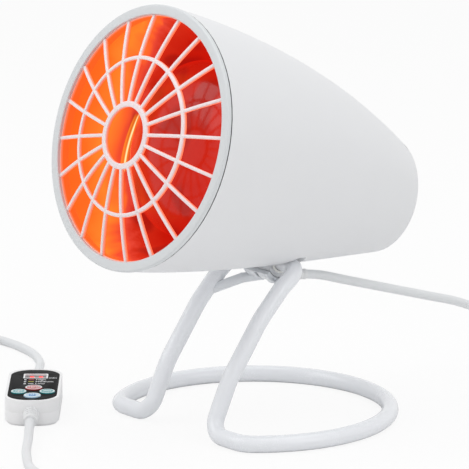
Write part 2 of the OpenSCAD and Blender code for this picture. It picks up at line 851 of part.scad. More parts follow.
module holder_screws() {
  color("#9a9c9e") on_head() for (s = [-1, 1])
    translate([s * holder_screw_x, bracket_y + bracket_t, 0]) pan_screw(bracket_t + 6, true);
}

module bracket_screws() {
  color("#9a9c9e") on_head() for (s = [-1, 1])
    translate([s * boss_x, bracket_y, -shell_drop(1)]) pan_screw(bracket_t + 14, false);
}

terminal_z = 9;
terminal_depth = 12;

module terminal_block() {
  color("#e9e6da") on_head() difference() {
    translate([-12, bracket_y + bracket_t, terminal_z]) cube([24, terminal_depth, 10]);
    for (x = [-6, 6])
      translate([x, bracket_y + bracket_t + 6, terminal_z + 4]) cylinder(h = 10, r = 2);
  }
}

module head_wires() {
  lead_in = [0, pivot_along, pivot_z];
  lead_way = [0, -sin(skin_slope), cos(skin_slope)];
  back_y = bracket_y + bracket_t + terminal_depth / 2;
  low_z = -bracket_h / 2 - 2;
  color("#8a8c90") on_head() jointed_rod(
    [lead_in + lead_way * 1.2, lead_in + lead_way * (upper_block_h + 7),
      [0, back_y, low_z], [0, back_y, terminal_z]], lead_r);
}

module pivot_cap() {
  color("#d9dadc") on_head() difference() {
    union() {
      on_pivot() intersection() {
        across(block_r, 2 * block_x);
        translate([-block_x, -block_r, -block_r]) cube([2 * block_x, 2 * block_r, block_r]);
      }
      on_pivot() intersection() {
        translate([-block_x, -plate_y, -6]) cube([2 * block_x, 2 * plate_y, 6]);
        translate([0, 0, shell_r(pivot_t) - pivot_inset]) rotate([90, 0, 0])
          cylinder(h = 4 * plate_y, r = shell_r(pivot_t), center = true);
      }
    }
    on_pivot() {
      across(bore_r, 2 * block_x + past);
      for (x = [-1, 1], y = [-1, 1])
        translate([x * cap_screw_x, y * cap_screw_y, 0]) {
          translate([0, 0, -10]) cylinder(h = 10 + past, r = screw_r + 0.15);
          translate([0, 0, -10]) cylinder(h = 10 + cap_seat_z, r = screw_head_r + 0.2);
        }
      stop_way() cylinder(h = 20, r = stop_r + seat_fit);
      for (a = edge_reliefs)
        rotate([0, 90, 0]) rotate([0, 0, a]) rotate_extrude(angle = edge_sweep)
          translate([block_r, -block_x - past]) square([saddle_out + 1 - block_r, 2 * (block_x + past)]);
      rotate([0, 90, 0]) rotate([0, 0, lead_from]) rotate_extrude(angle = lead_sweep)
        translate([bore_r - past, -lead_r - lead_fit]) square([block_r, 2 * (lead_r + lead_fit)]);
    }
  }
}

// Way of the stop screw, outward from the tilt axis, on the pivot's frame
module stop_way() {
  rotate([stop_angle + slope_now, 0, 0]) rotate([90, 0, 0]) children();
}

// Reliefs in the cap over the saddle's front and rear edges at the ends of the
// travel, from straight down toward the rear
edge_fit = 1.6;
edge_sweep = 20;
edge_reliefs = [
  saddle_from - 90 + slope_now - tilt_forward - edge_fit,
  90 - saddle_from + slope_now + tilt_back + edge_fit - edge_sweep
];

// Sweep of the lead through the cap as the head tilts, from straight down
// toward the rear
lead_angle = atan2(pivot_at.z - lead_corner.z, lead_corner.y - pivot_at.y) - slope_now;
lead_width = asin((lead_r + lead_fit) / bore_r);
lead_from = 90 - lead_angle - tilt_forward - lead_width;
lead_sweep = tilt_back + tilt_forward + 2 * lead_width;

module pivot_cap_screws() {
  color("#9a9c9e") on_head() on_pivot() for (x = [-1, 1], y = [-1, 1])
    translate([x * cap_screw_x, y * cap_screw_y, cap_seat_z]) {
      translate([0, 0, -1]) cylinder(h = 1, r = screw_head_r);
      cylinder(h = 11, r = screw_r);
    }
}

module pivot_bushes() {
  color("#f2f2ee") on_head() on_pivot() for (s = [-1, 1])
    translate([s * (pin_gap + block_x + 1) / 2, 0, 0]) difference() {
      across(bush_r, block_x + 1 - pin_gap);
      across(tube_r + run_fit, block_x + past + 1);
    }
}

module stop_screw() {
  color("#55575a") on_head() on_pivot() stop_way() difference() {
    translate([0, 0, bore_r + 0.3]) cylinder(h = saddle_out - bore_r - 1, r = stop_r);
    translate([0, 0, saddle_out - 2]) cylinder(h = 5, r = stop_r / 2, $fn = 6);
  }
}

// ---------------------------------------------------------------- stand

// The tube: the base loop, and a leg that is mirrored for the other side
leg_h = headings(leg_points);
leg_a = turns(leg_h);
leg_e = sides(leg_h);

module tube_run(r, bore = 0) {
  translate([0, loop_back, tube_r]) rotate([0, 0, -loop_open])
    rotate_extrude(angle = 180 + 2 * loop_open) translate([loop_r, 0]) difference() {
      circle(r = r);
      if (bore > 0) circle(r = bore);
    }
  for (s = [0, 1]) mirror([s, 0, 0]) start_frame(leg_points[0], leg_h[0], leg_e[0])
    follow(
      straight_runs(leg_points, cut_backs(leg_a, leg_radii)),
      bend_list(leg_h, leg_a, leg_e, leg_radii), r, bore, true
    );
}

module stand_tube() {
  color("#d5d8dc") placed() tube_run(tube_r, tube_r - tube_wall);
}

module tube_end_plugs() {
  plug_r = tube_r - tube_wall - seat_fit;
  color("#e8e8e8") placed() for (s = [-1, 1]) {
    translate([s * (pin_gap + 4), pivot_back, pivot_h]) across(plug_r, 8);
    translate([s * (pin_gap - 0.5), pivot_back, pivot_h]) across(tube_r, 1);
  }
}

module cross_brace() {
  color("#c9ccd0") placed() difference() {
    union() {
      translate(pivot_at) rotate([0, 90, 0]) rotate([0, 0, saddle_from - 90])
        rotate_extrude(angle = 180 - 2 * saddle_from)
          translate([saddle_in - 0.5, -block_x]) square([saddle_wall + 0.5, 2 * block_x]);
      for (s = [0, 1]) mirror([s, 0, 0]) {
        jointed_rod([arm_root, arm_mid, arm_tip], arm_r);
        ball(arm_tip, arm_r);
      }
      rod(boss_from, relief_from, cord_boss_r);
      ball(boss_from, cord_boss_r);
    }
    translate(pivot_at) across(saddle_in, 60);
    translate(pivot_at) rotate([0, 90, 0]) rotate([0, 0, slot_from]) rotate_extrude(angle = slot_sweep)
      translate([saddle_in - past, -stop_r - slot_fit]) square([saddle_wall + 8, 2 * (stop_r + slot_fit)]);
    rod(relief_from - boss_dir * relief_plug_len, relief_from + boss_dir, relief_plug_r + seat_fit);
    jointed_rod([pivot_at, lead_corner, relief_from], lead_r + seat_fit);
    for (s = [0, 1]) mirror([s, 0, 0]) rod(leg_points[3], leg_points[2], tube_r + seat_fit);
  }
}

// Sweep of the stop screw in the saddle, from straight down toward the rear,
// which starts on the front side
stop_width = asin((stop_r + slot_fit) / saddle_in);
slot_from = stop_angle - 90 - tilt_back - stop_width;
slot_sweep = tilt_back + tilt_forward + 2 * stop_width;

module strain_relief() {
  color("#e6e7e8") placed() {
    rod(relief_from - boss_dir * (relief_plug_len - seat_fit), relief_from, relief_plug_r);
    translate(relief_from) rotate(aim(boss_dir))
      cylinder(h = relief_len, r1 = relief_r - 0.6, r2 = cord_r + 0.4);
  }
}

module inner_lead() {
  color("#8a8c90") placed() jointed_rod(
    [pivot_at + unit(lead_corner - pivot_at) * 1.2, lead_corner,
      relief_from - boss_dir * relief_plug_len], lead_r - knuckle);
}

// ---------------------------------------------------------------- cords

lead_points = curve(concat(
  [relief_tip - [0, mid_y, 0]], lead_route,
  [ctl_end(-1)]
), cord_step);

// Tip of the controller's strain relief, at its near (-1) or far (1) end
function ctl_end(s) = ctl_at + [
  -sin(ctl_turn) * s * (ctl_l / 2 + relief_len), cos(ctl_turn) * s * (ctl_l / 2 + relief_len), ctl_cord_z
];

module lead_cord() {
  color("#dcddde") cord(lead_points, cord_r, cord_sides);
}

// Wound cord: in for a turn on the floor, half a turn up, and out again on top
coil_turns = 2 * inward_turns + 0.5;
function coil_point(s) =
  let (
    t = s / coil_steps,
    climb = min(max((t - inward_turns) * 2, 0), 1),
    inward = min(t, inward_turns) - max(t - inward_turns - 0.5, 0),
    r = coil_r - coil_pitch * inward,
    a = 90 + 360 * t
  )
  coil_at + [r * cos(a), r * sin(a), coil_layer * climb];
coil_line = [for (s = [0 : coil_steps * coil_turns]) coil_point(s)];
coil_points = concat([coil_line[0] + [cord_d, 0, 0]], coil_line,
  [coil_line[len(coil_line) - 1] + [plug_run, 0, 0]]);

// Least gap of the coil to itself, between points more than a third of a turn apart
coil_gap = min([
  for (i = [0 : len(coil_points) - 1], j = [i + 8 : len(coil_points) - 1])
    if (j < len(coil_points)) norm(coil_points[i] - coil_points[j])
]) - cord_d;
echo(coil_gap = coil_gap);

module tail_cord() {
  tail_points = curve(concat([ctl_end(1)], tail_route, [coil_points[0]]), cord_step);
  color("#dcddde") cord(tail_points, cord_r, cord_sides);
}

module cord_coil() {
  color("#dcddde") cord(coil_points, cord_r, coil_sides);
}

// ---------------------------------------------------------------- controller

module on_floor() {
  translate(ctl_at) rotate([0, 0, ctl_turn]) children();
}

// Rectangle with round corners
module rounded(w, l, r) {
  square([w - 2 * r, l], center = true);
  square([w, l - 2 * r], center = true);
  for (x = [-1, 1], y = [-1, 1]) translate([x * (w / 2 - r), y * (l / 2 - r)]) circle(r = r);
}

// Plate with round corners between two heights
module slab(w, l, r, z0, z1) {
  translate([0, 0, z0]) linear_extrude(height = z1 - z0) rounded(w, l, r);
}

module relief_holes() {
  for (s = [-1, 1])
    translate([0, s * (ctl_l / 2 - 4), ctl_cord_z]) rotate([-s * 90, 0, 0])
      cylinder(h = 8, r = relief_plug_r + seat_fit);
}

module controller_base() {
  edge = 1.6;
  color("#ececec") on_floor() difference() {
    union() {
      slab(ctl_w, ctl_l, ctl_corner, edge, ctl_split);
      slab(ctl_w - 2 * edge, ctl_l - 2 * edge, ctl_corner - edge, 0, edge);
    }
    slab(ctl_w - 2 * ctl_wall - board_step.x, ctl_l - 2 * ctl_wall - board_step.y,
      ctl_corner - ctl_wall, edge + 0.8, board_z);
    slab(ctl_w - 2 * ctl_wall, ctl_l - 2 * ctl_wall, ctl_corner - ctl_wall, board_z, ctl_split + past);
    relief_holes();
    for (x = [-1, 1], y = [-1, 1])
      translate([x * post_x, y * post_y, -past]) cylinder(h = 12, r = ctl_screw_r + 0.2);
    for (x = [-1, 1], y = [-1, 1])
      translate([x * post_x, y * post_y, -past]) cylinder(h = 1 + past, r = 2.4);
  }
}

module controller_top() {
  roof_z = plate_z - ctl_roof;
  color("#ececec") on_floor() difference() {
    union() {
      difference() {
        slab(ctl_w, ctl_l, ctl_corner, ctl_split, ctl_h);
        slab(ctl_w - 2 * ctl_wall, ctl_l - 2 * ctl_wall, ctl_corner - ctl_wall, ctl_split - past, roof_z);
      }
      for (x = [-1, 1], y = [-1, 1])
        translate([x * post_x, y * post_y, ctl_split + 0.2]) cylinder(h = roof_z - ctl_split, r = post_r);
    }
    slab(plate_w + 0.2, plate_l + 0.2, plate_corner, plate_z, ctl_h + past);
    relief_holes();
    for (x = [-1, 1], y = [-1, 1])
      translate([x * post_x, y * post_y, ctl_split - past]) cylinder(h = 6, r = ctl_screw_r + seat_fit);
    face_holes(roof_z - past);
  }
}

// Holes for the display, the lamps and the buttons, upward from a height
module face_holes(z) {
  translate([display_at.x - display_w / 2, display_at.y - display_h / 2, z])
    cube([display_w, display_h, ctl_h]);
  for (y = led_ys)
    translate([led_x, y, z]) cylinder(h = ctl_h, r = led_r + 0.1);
  for (b = button_spots)
    translate([b[0].x, b[0].y, z]) cylinder(h = ctl_h, r = b[1] + button_fit);
}

module face_plate() {
  color("#17181a") on_floor() difference() {
    slab(plate_w, plate_l, plate_corner, plate_z, plate_z + plate_t);
    face_holes(plate_z - past);
  }
}

module display_frame() {
  color("#f0f0f0") on_floor() translate([display_at.x, display_at.y, 0]) difference() {
    slab(display_w - 0.2, display_h - 0.2, 1, plate_z - ctl_roof, ctl_h + 0.1);
    slab(display_w - 2 * frame_w, display_h - 2 * frame_w, 0.4, 0, ctl_h + past);
  }
}

module_top = plate_z - 0.4;

module display_module() {
  color("#200606") on_floor() translate([display_at.x, display_at.y, 0]) {
    slab(display_w - 2 * frame_w - 0.2, display_h - 2 * frame_w - 0.2, 0.4, board_z + board_t, module_top);
  }
}

// Bars of a seven-bar figure, by the letters that name them
bar_spots = [
  ["a", 0, 3, 0], ["b", 1.6, 1.5, 90], ["c", 1.6, -1.5, 90], ["d", 0, -3, 0],
  ["e", -1.6, -1.5, 90], ["f", -1.6, 1.5, 90], ["g", 0, 0, 0]
];

module figure(lit) {
  for (spot = bar_spots)
    if (len(search(spot[0], lit)) > 0)
      translate([spot[1], spot[2], module_top]) rotate([0, 0, spot[3]])
        translate([-1.1, -0.35, 0]) cube([2.2, 0.7, 0.3]);
}

module display_digits() {
  color("#ff3020") on_floor() translate([display_at.x, display_at.y, 0]) {
    translate([-3.2, 0, 0]) figure("abged");
    translate([3.2, 0, 0]) figure("abgcd");
  }
}

module indicator_leds() {
  color("#f0d060") on_floor() for (y = led_ys)
    translate([led_x, y, board_z + board_t])
      cylinder(h = plate_z + plate_t + 0.1 - board_z - board_t, r = led_r);
}

module circuit_board() {
  color("#2f6b3c") on_floor() difference() {
    slab(ctl_w - 2 * ctl_wall - board_fit, ctl_l - 2 * ctl_wall - board_fit,
      ctl_corner - ctl_wall, board_z, board_z + board_t);
    for (x = [-1, 1], y = [-1, 1])
      translate([x * post_x, y * post_y, 0]) cylinder(h = ctl_h, r = ctl_screw_r + 0.5);
    for (s = [-1, 1])
      translate([-relief_plug_r - 1, s * (ctl_l / 2 - 6) - 5, 0]) cube([2 * relief_plug_r + 2, 10, ctl_h]);
  }
}

module tact_switches() {
  color("#3a3a3c") on_floor() for (b = button_spots)
    translate([b[0].x, b[0].y, board_z + board_t]) {
      translate([-3, -3, 0]) cube([6, 6, (switch_top - board_z - board_t) / 2]);
      cylinder(h = switch_top - board_z - board_t, r = 1.7);
    }
}

module controller_screws() {
  color("#9a9c9e") on_floor() for (x = [-1, 1], y = [-1, 1])
    translate([x * post_x, y * post_y, 1 - seat_fit]) {
      translate([0, 0, -0.9]) cylinder(h = 0.9, r = 2.1);
      cylinder(h = ctl_split + 3, r = ctl_screw_r);
    }
}

// Tapered relief with slots across it, at each end
module controller_reliefs() {
  color("#e8e9ea") on_floor() for (s = [-1, 1])
    translate([0, s * ctl_l / 2, ctl_cord_z]) rotate([-s * 90, 0, 0]) difference() {
      union() {
        translate([0, 0, -4 + seat_fit]) cylinder(h = 4, r = relief_plug_r);
        cylinder(h = relief_len, r1 = ctl_relief_r, r2 = ctl_relief_r - 0.9);
      }
      for (k = [0 : 2], side = [-1, 1])
        translate([0, side * 6, 5 + 4.6 * k]) cube([14, 5, 1.6], center = true);
    }
}

// Button cap with a flange that keeps it in, over the face
module button(spot) {
  on_floor() translate([spot[0].x, spot[0].y, 0]) {
    translate([0, 0, button_ledge]) cylinder(h = button_top - button_ledge, r = spot[1]);
    translate([0, 0, button_ledge - button_flange_t])
      cylinder(h = button_flange_t, r = spot[1] + button_flange);
  }
}

module button_temp() { color("#c8202a") button(button_spots[0]); }
module button_plus() { color("#2a98a8") button(button_spots[1]); }
module button_minus() { color("#2a98a8") button(button_spots[2]); }
module button_power() { color("#a8cfe4") button(button_spots[3]); }

// ---------------------------------------------------------------- plug

module plug_body() {
  nose = 5;
  color("#e2e3e4") translate(plug_at) rotate([0, 90, 0]) difference() {
    union() {
      cylinder(h = relief_len + 2, r1 = cord_r + 0.6, r2 = relief_r + 1.5);
      translate([0, 0, relief_len]) linear_extrude(height = plug_len - nose)
        rounded(plug_h, plug_w, 8);
      translate([0, 0, relief_len + plug_len - nose]) linear_extrude(height = nose)
        rounded(plug_h - 3, plug_w - 3, 7);
    }
    for (s = [-1, 1])
      translate([0, s * plug_pitch / 2, relief_len + plug_len - pin_root])
        cylinder(h = pin_root + past, r = pin_root_r + seat_fit);
  }
}

module plug_pins() {
  color("#c8cacc") translate(plug_at) rotate([0, 90, 0]) for (s = [-1, 1])
    translate([0, s * plug_pitch / 2, relief_len + plug_len]) {
      translate([0, 0, seat_fit - pin_root]) cylinder(h = pin_root + pin_neck, r = pin_root_r);
      translate([0, 0, pin_neck]) cylinder(h = plug_pin_len - pin_neck - pin_tip, r = plug_pin_r);
      translate([0, 0, plug_pin_len - pin_tip])
        cylinder(h = pin_tip, r1 = plug_pin_r, r2 = plug_pin_r - 0.8);
    }
}

housing();
bezel_ring();
grille();
reflector();
bulb_glass();
bulb_stem();
bulb_filament();
bulb_cap();
lampholder();
holder_thread();
holder_contact();
holder_bracket();
holder_screws();
bracket_screws();
terminal_block();
head_wires();
pivot_cap();
pivot_cap_screws();
pivot_bushes();
stop_screw();
stand_tube();
tube_end_plugs();
cross_brace();
strain_relief();
inner_lead();
lead_cord();
controller_base();
controller_top();
face_plate();
display_frame();
display_module();
display_digits();
indicator_leds();
circuit_board();
tact_switches();
controller_screws();
controller_reliefs();
button_temp();
button_plus();
button_minus();
button_power();
tail_cord();
cord_coil();
plug_body();
plug_pins();
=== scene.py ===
"""Looks of an infrared heat lamp: a tilting head on a bent-tube stand, with a timer on its cord."""

import logging
import math
from dataclasses import dataclass, field
from enum import Enum
from typing import Callable, Iterable, Optional, Sequence

import bmesh
import bpy
from mathutils import Euler, Matrix, Vector


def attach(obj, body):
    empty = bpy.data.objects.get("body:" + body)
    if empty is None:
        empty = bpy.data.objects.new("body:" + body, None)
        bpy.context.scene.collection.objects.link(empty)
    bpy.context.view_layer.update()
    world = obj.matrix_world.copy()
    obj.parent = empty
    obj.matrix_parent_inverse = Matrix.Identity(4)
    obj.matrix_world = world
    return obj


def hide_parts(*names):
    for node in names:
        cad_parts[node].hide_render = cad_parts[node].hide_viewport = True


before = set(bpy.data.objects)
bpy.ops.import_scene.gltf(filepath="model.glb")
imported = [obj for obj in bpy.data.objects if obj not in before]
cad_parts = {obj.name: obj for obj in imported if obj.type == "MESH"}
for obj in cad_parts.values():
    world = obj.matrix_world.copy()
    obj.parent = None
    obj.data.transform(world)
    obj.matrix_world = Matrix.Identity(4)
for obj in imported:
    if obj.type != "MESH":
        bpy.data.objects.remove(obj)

log = logging.getLogger("heat_lamp")

MM = 0.001
Colour = tuple[float, float, float]
Profile = list[tuple[float, float]]
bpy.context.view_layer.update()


# ------------------------------------------------------------ where things are


@dataclass(frozen=True)
class Layout:
    """Places that the pieces are built round, in metres.

    The head's own frame has its origin in the middle of the bezel's front, with y running to the rear.
    """

    head_at: Vector = field(default_factory=lambda: Vector((0, -0.103203, 0.216417)))
    head_pitch: float = math.radians(16.2)
    controller_at: Vector = field(default_factory=lambda: Vector((-0.112, -0.111, 0)))
    controller_turn: float = math.radians(50.6)
    relief_from: Vector = field(default_factory=lambda: Vector((0, 0.028568, 0.099255)))
    relief_tip: Vector = field(default_factory=lambda: Vector((0, 0.048459, 0.097164)))

    def head(self) -> Matrix:
        """Matrix that puts a piece drawn on the head's axes in its place."""
        return Matrix.Translation(self.head_at) @ Matrix.Rotation(-self.head_pitch, 4, "X")

    def controller(self) -> Matrix:
        """Matrix that puts a piece drawn on the controller's axes in its place."""
        return Matrix.Translation(self.controller_at) @ Matrix.Rotation(self.controller_turn, 4, "Z")

    def on_controller(self, place: Sequence[float]) -> Matrix:
        """Matrix that puts a small piece at a place on the controller, given in millimetres."""
        return self.controller() @ Matrix.Translation([c * MM for c in place])


LAYOUT = Layout()


# ------------------------------------------------------------ shader building


class Value:
    """A number that varies over a surface, with Python's arithmetic."""

    def __init__(self, nodes: "Nodes", socket: bpy.types.NodeSocket) -> None:
        """Wraps a socket of a tree's node."""
        self.nodes = nodes
        self.socket = socket

    def _math(self, operation: str, first: object, second: object) -> "Value":
        """Adds one Math node.

        Args:
            operation: The Math node's operation.
            first: The first operand, a Value or a number.
            second: The second operand, a Value or a number.

        Returns:
            The node's result.
        """
        node = self.nodes.node("ShaderNodeMath", {"operation": operation}, {0: first, 1: second})
        return Value(self.nodes, node.outputs[0])

    def __add__(self, other: object) -> "Value":
        """Sum."""
        return self._math("ADD", self, other)

    __radd__ = __add__

    def __sub__(self, other: object) -> "Value":
        """Difference."""
        return self._math("SUBTRACT", self, other)

    def __rsub__(self, other: object) -> "Value":
        """Difference, reflected."""
        return self._math("SUBTRACT", other, self)

    def __mul__(self, other: object) -> "Value":
        """Product."""
        return self._math("MULTIPLY", self, other)

    __rmul__ = __mul__

    def __truediv__(self, other: object) -> "Value":
        """Quotient."""
        return self._math("DIVIDE", self, other)

    def __rtruediv__(self, other: object) -> "Value":
        """Quotient, reflected."""
        return self._math("DIVIDE", other, self)

    def __abs__(self) -> "Value":
        """Size without its sign."""
        return self._math("ABSOLUTE", self, 0.0)

    def larger(self, other: "Value") -> "Value":
        """The larger of this value and another."""
        return self._math("MAXIMUM", self, other)

    def smooth(self, low: float, high: float) -> "Value":
        """Rises smoothly from 0 to 1 between two limits.

        Args:
            low: The value at which the result leaves 0.
            high: The value at which it reaches 1.

        Returns:
            The eased value.
        """
        node = self.nodes.node(
            "ShaderNodeMapRange",
            {"interpolation_type": "SMOOTHSTEP"},
            {"Value": self, "From Min": low, "From Max": high},
        )
        return Value(self.nodes, node.outputs["Result"])


class Nodes:
    """A tree of shader nodes."""

    def __init__(self, tree: bpy.types.NodeTree) -> None:
        """Takes a tree and empties it."""
        self.tree = tree
        self.tree.nodes.clear()

    def node(
        self,
        kind: str,
        settings: Optional[dict[str, object]] = None,
        inputs: Optional[dict[object, object]] = None,
    ) -> bpy.types.Node:
        """Adds a node.

        Args:
            kind: The node's type.
            settings: Its settings, such as an operation or a ramp's stops.
            inputs: Values, Values of this module or sockets for its inputs, by name or number.

        Returns:
            The node.
        """
        made = self.tree.nodes.new(kind)
        for name, value in (settings or {}).items():
            if name == "stops":
                self._stops(made.color_ramp, value)
            else:
                setattr(made, name, value)
        for name, value in (inputs or {}).items():
            self.put(made.inputs[name], value)
        return made

    @staticmethod
    def _stops(ramp: bpy.types.ColorRamp, stops: Sequence[tuple[float, Colour]]) -> None:
        """Writes a ramp's stops."""
        while len(ramp.elements) < len(stops):
            ramp.elements.new(0.5)
        for element, (place, colour) in zip(ramp.elements, stops):
            element.position = place
            element.color = (*colour, 1)

    def put(self, socket: bpy.types.NodeSocket, value: object) -> None:
        """Gives an input its value or its link."""
        if isinstance(value, Value):
            value = value.socket
        if isinstance(value, bpy.types.NodeSocket):
            self.tree.links.new(value, socket)
        elif socket.type == "RGBA" and len(value) == 3:
            socket.default_value = (*value, 1)
        else:
            socket.default_value = value


class Shader(Nodes):
    """Builds one material's nodes."""

    mix_first, mix_second, mix_result = 6, 7, 2  # a Mix node's colour sockets

    def __init__(self, name: str) -> None:
        """Starts an empty material with a Principled shader."""
        self.material = bpy.data.materials.new(name)
        self.material.use_nodes = True
        super().__init__(self.material.node_tree)
        self.output = self.node("ShaderNodeOutputMaterial")
        self.surface = self.node("ShaderNodeBsdfPrincipled")
        self.put(self.output.inputs["Surface"], self.surface.outputs["BSDF"])
        self.place = self.node("ShaderNodeTexCoord").outputs["Object"]

    def set(self, **inputs: object) -> None:
        """Sets inputs of the Principled shader, with underscores for spaces."""
        for name, value in inputs.items():
            self.put(self.surface.inputs[name.replace("_", " ")], value)

    def noise(self, size: float, detail: float = 2.0, place: object = None, rough: float = 0.5) -> Value:
        """Soft random pattern.

        Args:
            size: The size of its blotches, in metres.
            detail: How much finer pattern it holds.
            place: The coordinates it is laid on, or the piece's own.
            rough: How strong the finer pattern is.

        Returns:
            The pattern, about 0.5 on average.
        """
        made = self.node(
            "ShaderNodeTexNoise",
            {},
            {"Vector": place or self.place, "Scale": 1 / size, "Detail": detail, "Roughness": rough},
        )
        return Value(self, made.outputs["Fac"])

    def blend(self, factor: object, first: object, second: object) -> bpy.types.NodeSocket:
        """Mixes two colours.

        Args:
            factor: The share of the second colour.
            first: The colour at 0.
            second: The colour at 1.

        Returns:
            The mixed colour's socket.
        """
        colours = {self.mix_first: first, self.mix_second: second}
        made = self.node("ShaderNodeMix", {"data_type": "RGBA"}, {"Factor": factor, **colours})
        return made.outputs[self.mix_result]

    def bump(self, height: Value, depth: float) -> None:
        """Raises the surface by a height from 0 to 1 times a depth in metres."""
        made = self.node("ShaderNodeBump", {}, {"Height": height, "Distance": depth})
        self.set(Normal=made.outputs["Normal"])

    def part(self, vector: object, axis: str) -> Value:
        """One component of a vector."""
        return Value(self, self.node("ShaderNodeSeparateXYZ", {}, {"Vector": vector}).outputs[axis])

    def on_head(self) -> bpy.types.NodeSocket:
        """Coordinates on the head's own axes."""
        moved = self.node(
            "ShaderNodeVectorMath", {"operation": "SUBTRACT"}, {0: self.place, 1: LAYOUT.head_at}
        )
        turned = self.node(
            "ShaderNodeMapping", {}, {"Vector": moved.outputs[0], "Rotation": (LAYOUT.head_pitch, 0, 0)}
        )
        return turned.outputs["Vector"]

    def beyond(self, normal: Vector, point: Vector) -> Value:
        """Distance beyond a plane.

        Args:
            normal: The plane's direction.
            point: A point on it.

        Returns:
            The signed distance, in metres.
        """
        made = self.node("ShaderNodeVectorMath", {"operation": "DOT_PRODUCT"}, {0: self.place, 1: normal})
        return Value(self, made.outputs["Value"]) - normal.dot(point)


def linear(red: int, green: int, blue: int) -> Colour:
    """Colour as a shader takes it, from its screen values of 0 to 255."""
    return tuple(
        ((c / 255 + 0.055) / 1.055) ** 2.4 if c > 10 else c / 255 / 12.92 for c in (red, green, blue)
    )


# ------------------------------------------------------------ finishes


@dataclass(frozen=True)
class Finish:
    """A moulded, painted, rubber or metal surface with a fine grain and slight unevenness."""

    name: str
    colour: Colour
    roughness: float = 0.4
    grain: float = 0.0007
    depth: float = 0.00002
    unevenness: float = 0.03
    spread: float = 0.08
    metallic: float = 0.0
    coat: float = 0.0
    sheen: float = 0.0
    alpha: float = 1.0
    glow: float = 0.0
    specular: float = 0.5
    cloud_size: float = 30 * MM
    cloud_share: float = 0.7

    def build(self) -> bpy.types.Material:
        """Makes the finish's material."""
        shader = Shader(self.name)
        cloud = shader.noise(self.cloud_size, 3)
        grain = shader.noise(self.grain, 4, rough=0.6)
        darker = tuple(c * (1 - 2 * self.unevenness) for c in self.colour)
        pattern = cloud * self.cloud_share + grain * (1 - self.cloud_share)
        colour = shader.blend(pattern, darker, self.colour)
        shader.set(
            Base_Color=colour,
            Roughness=cloud * self.spread + grain * self.spread + (self.roughness - self.spread),
            Metallic=self.metallic,
            Coat_Weight=self.coat,
            Sheen_Weight=self.sheen,
            Alpha=self.alpha,
            Specular_IOR_Level=self.specular,
        )
        if self.glow:
            shader.set(Emission_Color=colour, Emission_Strength=self.glow)
        shader.bump(grain, self.depth)
        self.detail(shader, grain, colour)
        return shader.material

    def detail(self, shader: Shader, grain: Value, colour: bpy.types.NodeSocket) -> None:
        """Adds what a special finish has beyond the plain one."""


@dataclass(frozen=True)
class Brushed(Finish):
    """Metal with fine lines drawn along the y axis."""

    stretch: tuple[float, float, float] = (1, 0.03, 1)

    def detail(self, shader: Shader, grain: Value, colour: bpy.types.NodeSocket) -> None:
        """Lays the lines, as a stretched pattern."""
        scaled = shader.node("ShaderNodeMapping", {}, {"Vector": shader.place, "Scale": self.stretch})
        lines = shader.noise(self.grain, 3, place=scaled.outputs["Vector"])
        shader.set(Roughness=lines * self.spread * 2 + (self.roughness - self.spread))
        shader.bump(lines, self.depth)


@dataclass(frozen=True)
class SeamShaded(Finish):
    """Plastic of the head, with painted shade in the seam between bezel and shell."""

    seam_from: float = 3.35 * MM
    seam_to: float = 4.2 * MM
    blur: float = 0.15 * MM
    shadow: Colour = (0.11, 0.115, 0.12)

    def detail(self, shader: Shader, grain: Value, colour: bpy.types.NodeSocket) -> None:
        """Paints shade into the band of the seam, by its depth on the head's axes."""
        depth = shader.part(shader.on_head(), "Y")
        inside = depth.smooth(self.seam_from, self.seam_from + self.blur)
        beyond = depth.smooth(self.seam_to, self.seam_to + self.blur)
        # Painted shade: the seam's band takes the shadow colour.
        shader.set(Base_Color=shader.blend(inside - beyond, colour, self.shadow))


@dataclass(frozen=True)
class PaintedGlowBars(Finish):
    """Bars of the grille, pale in front, with painted light from the lamp on their sides: orange colours and a
    painted glow.
    """

    dome_middle: Vector = field(default_factory=lambda: Vector((0, 0.24348, 0)))
    dome_radius: float = 0.257
    pale_depth: float = 0.3 * MM
    lit_depth: float = 2.0 * MM
    lit: Colour = (0.94, 0.33, 0.19)
    painted_glow_front: Colour = (0.10, 0.045, 0.04)
    painted_glow_side: Colour = (0.75, 0.20, 0.09)
    deep_depth: float = 3.4 * MM
    deep: Colour = (0.70, 0.10, 0.02)
    painted_glow_deep: Colour = (1.0, 0.17, 0.02)
    brightness: float = 0.55

    def detail(self, shader: Shader, grain: Value, colour: bpy.types.NodeSocket) -> None:
        """Paints the lamp's light onto the bars, by their depth behind the dome's front."""
        away = shader.node(
            "ShaderNodeVectorMath", {"operation": "DISTANCE"}, {0: shader.on_head(), 1: self.dome_middle}
        )
        depth = self.dome_radius - Value(shader, away.outputs["Value"])
        side = depth.smooth(self.pale_depth, self.lit_depth)
        deep = depth.smooth(self.lit_depth, self.deep_depth)
        # Painted light: lit orange base colours and a painted glow on the sides and deeper parts.
        shader.set(
            Base_Color=shader.blend(deep, shader.blend(side, colour, self.lit), self.deep),
            Emission_Color=shader.blend(
                deep, shader.blend(side, self.painted_glow_front, self.painted_glow_side), self.painted_glow_deep
            ),
            Emission_Strength=self.brightness,
        )


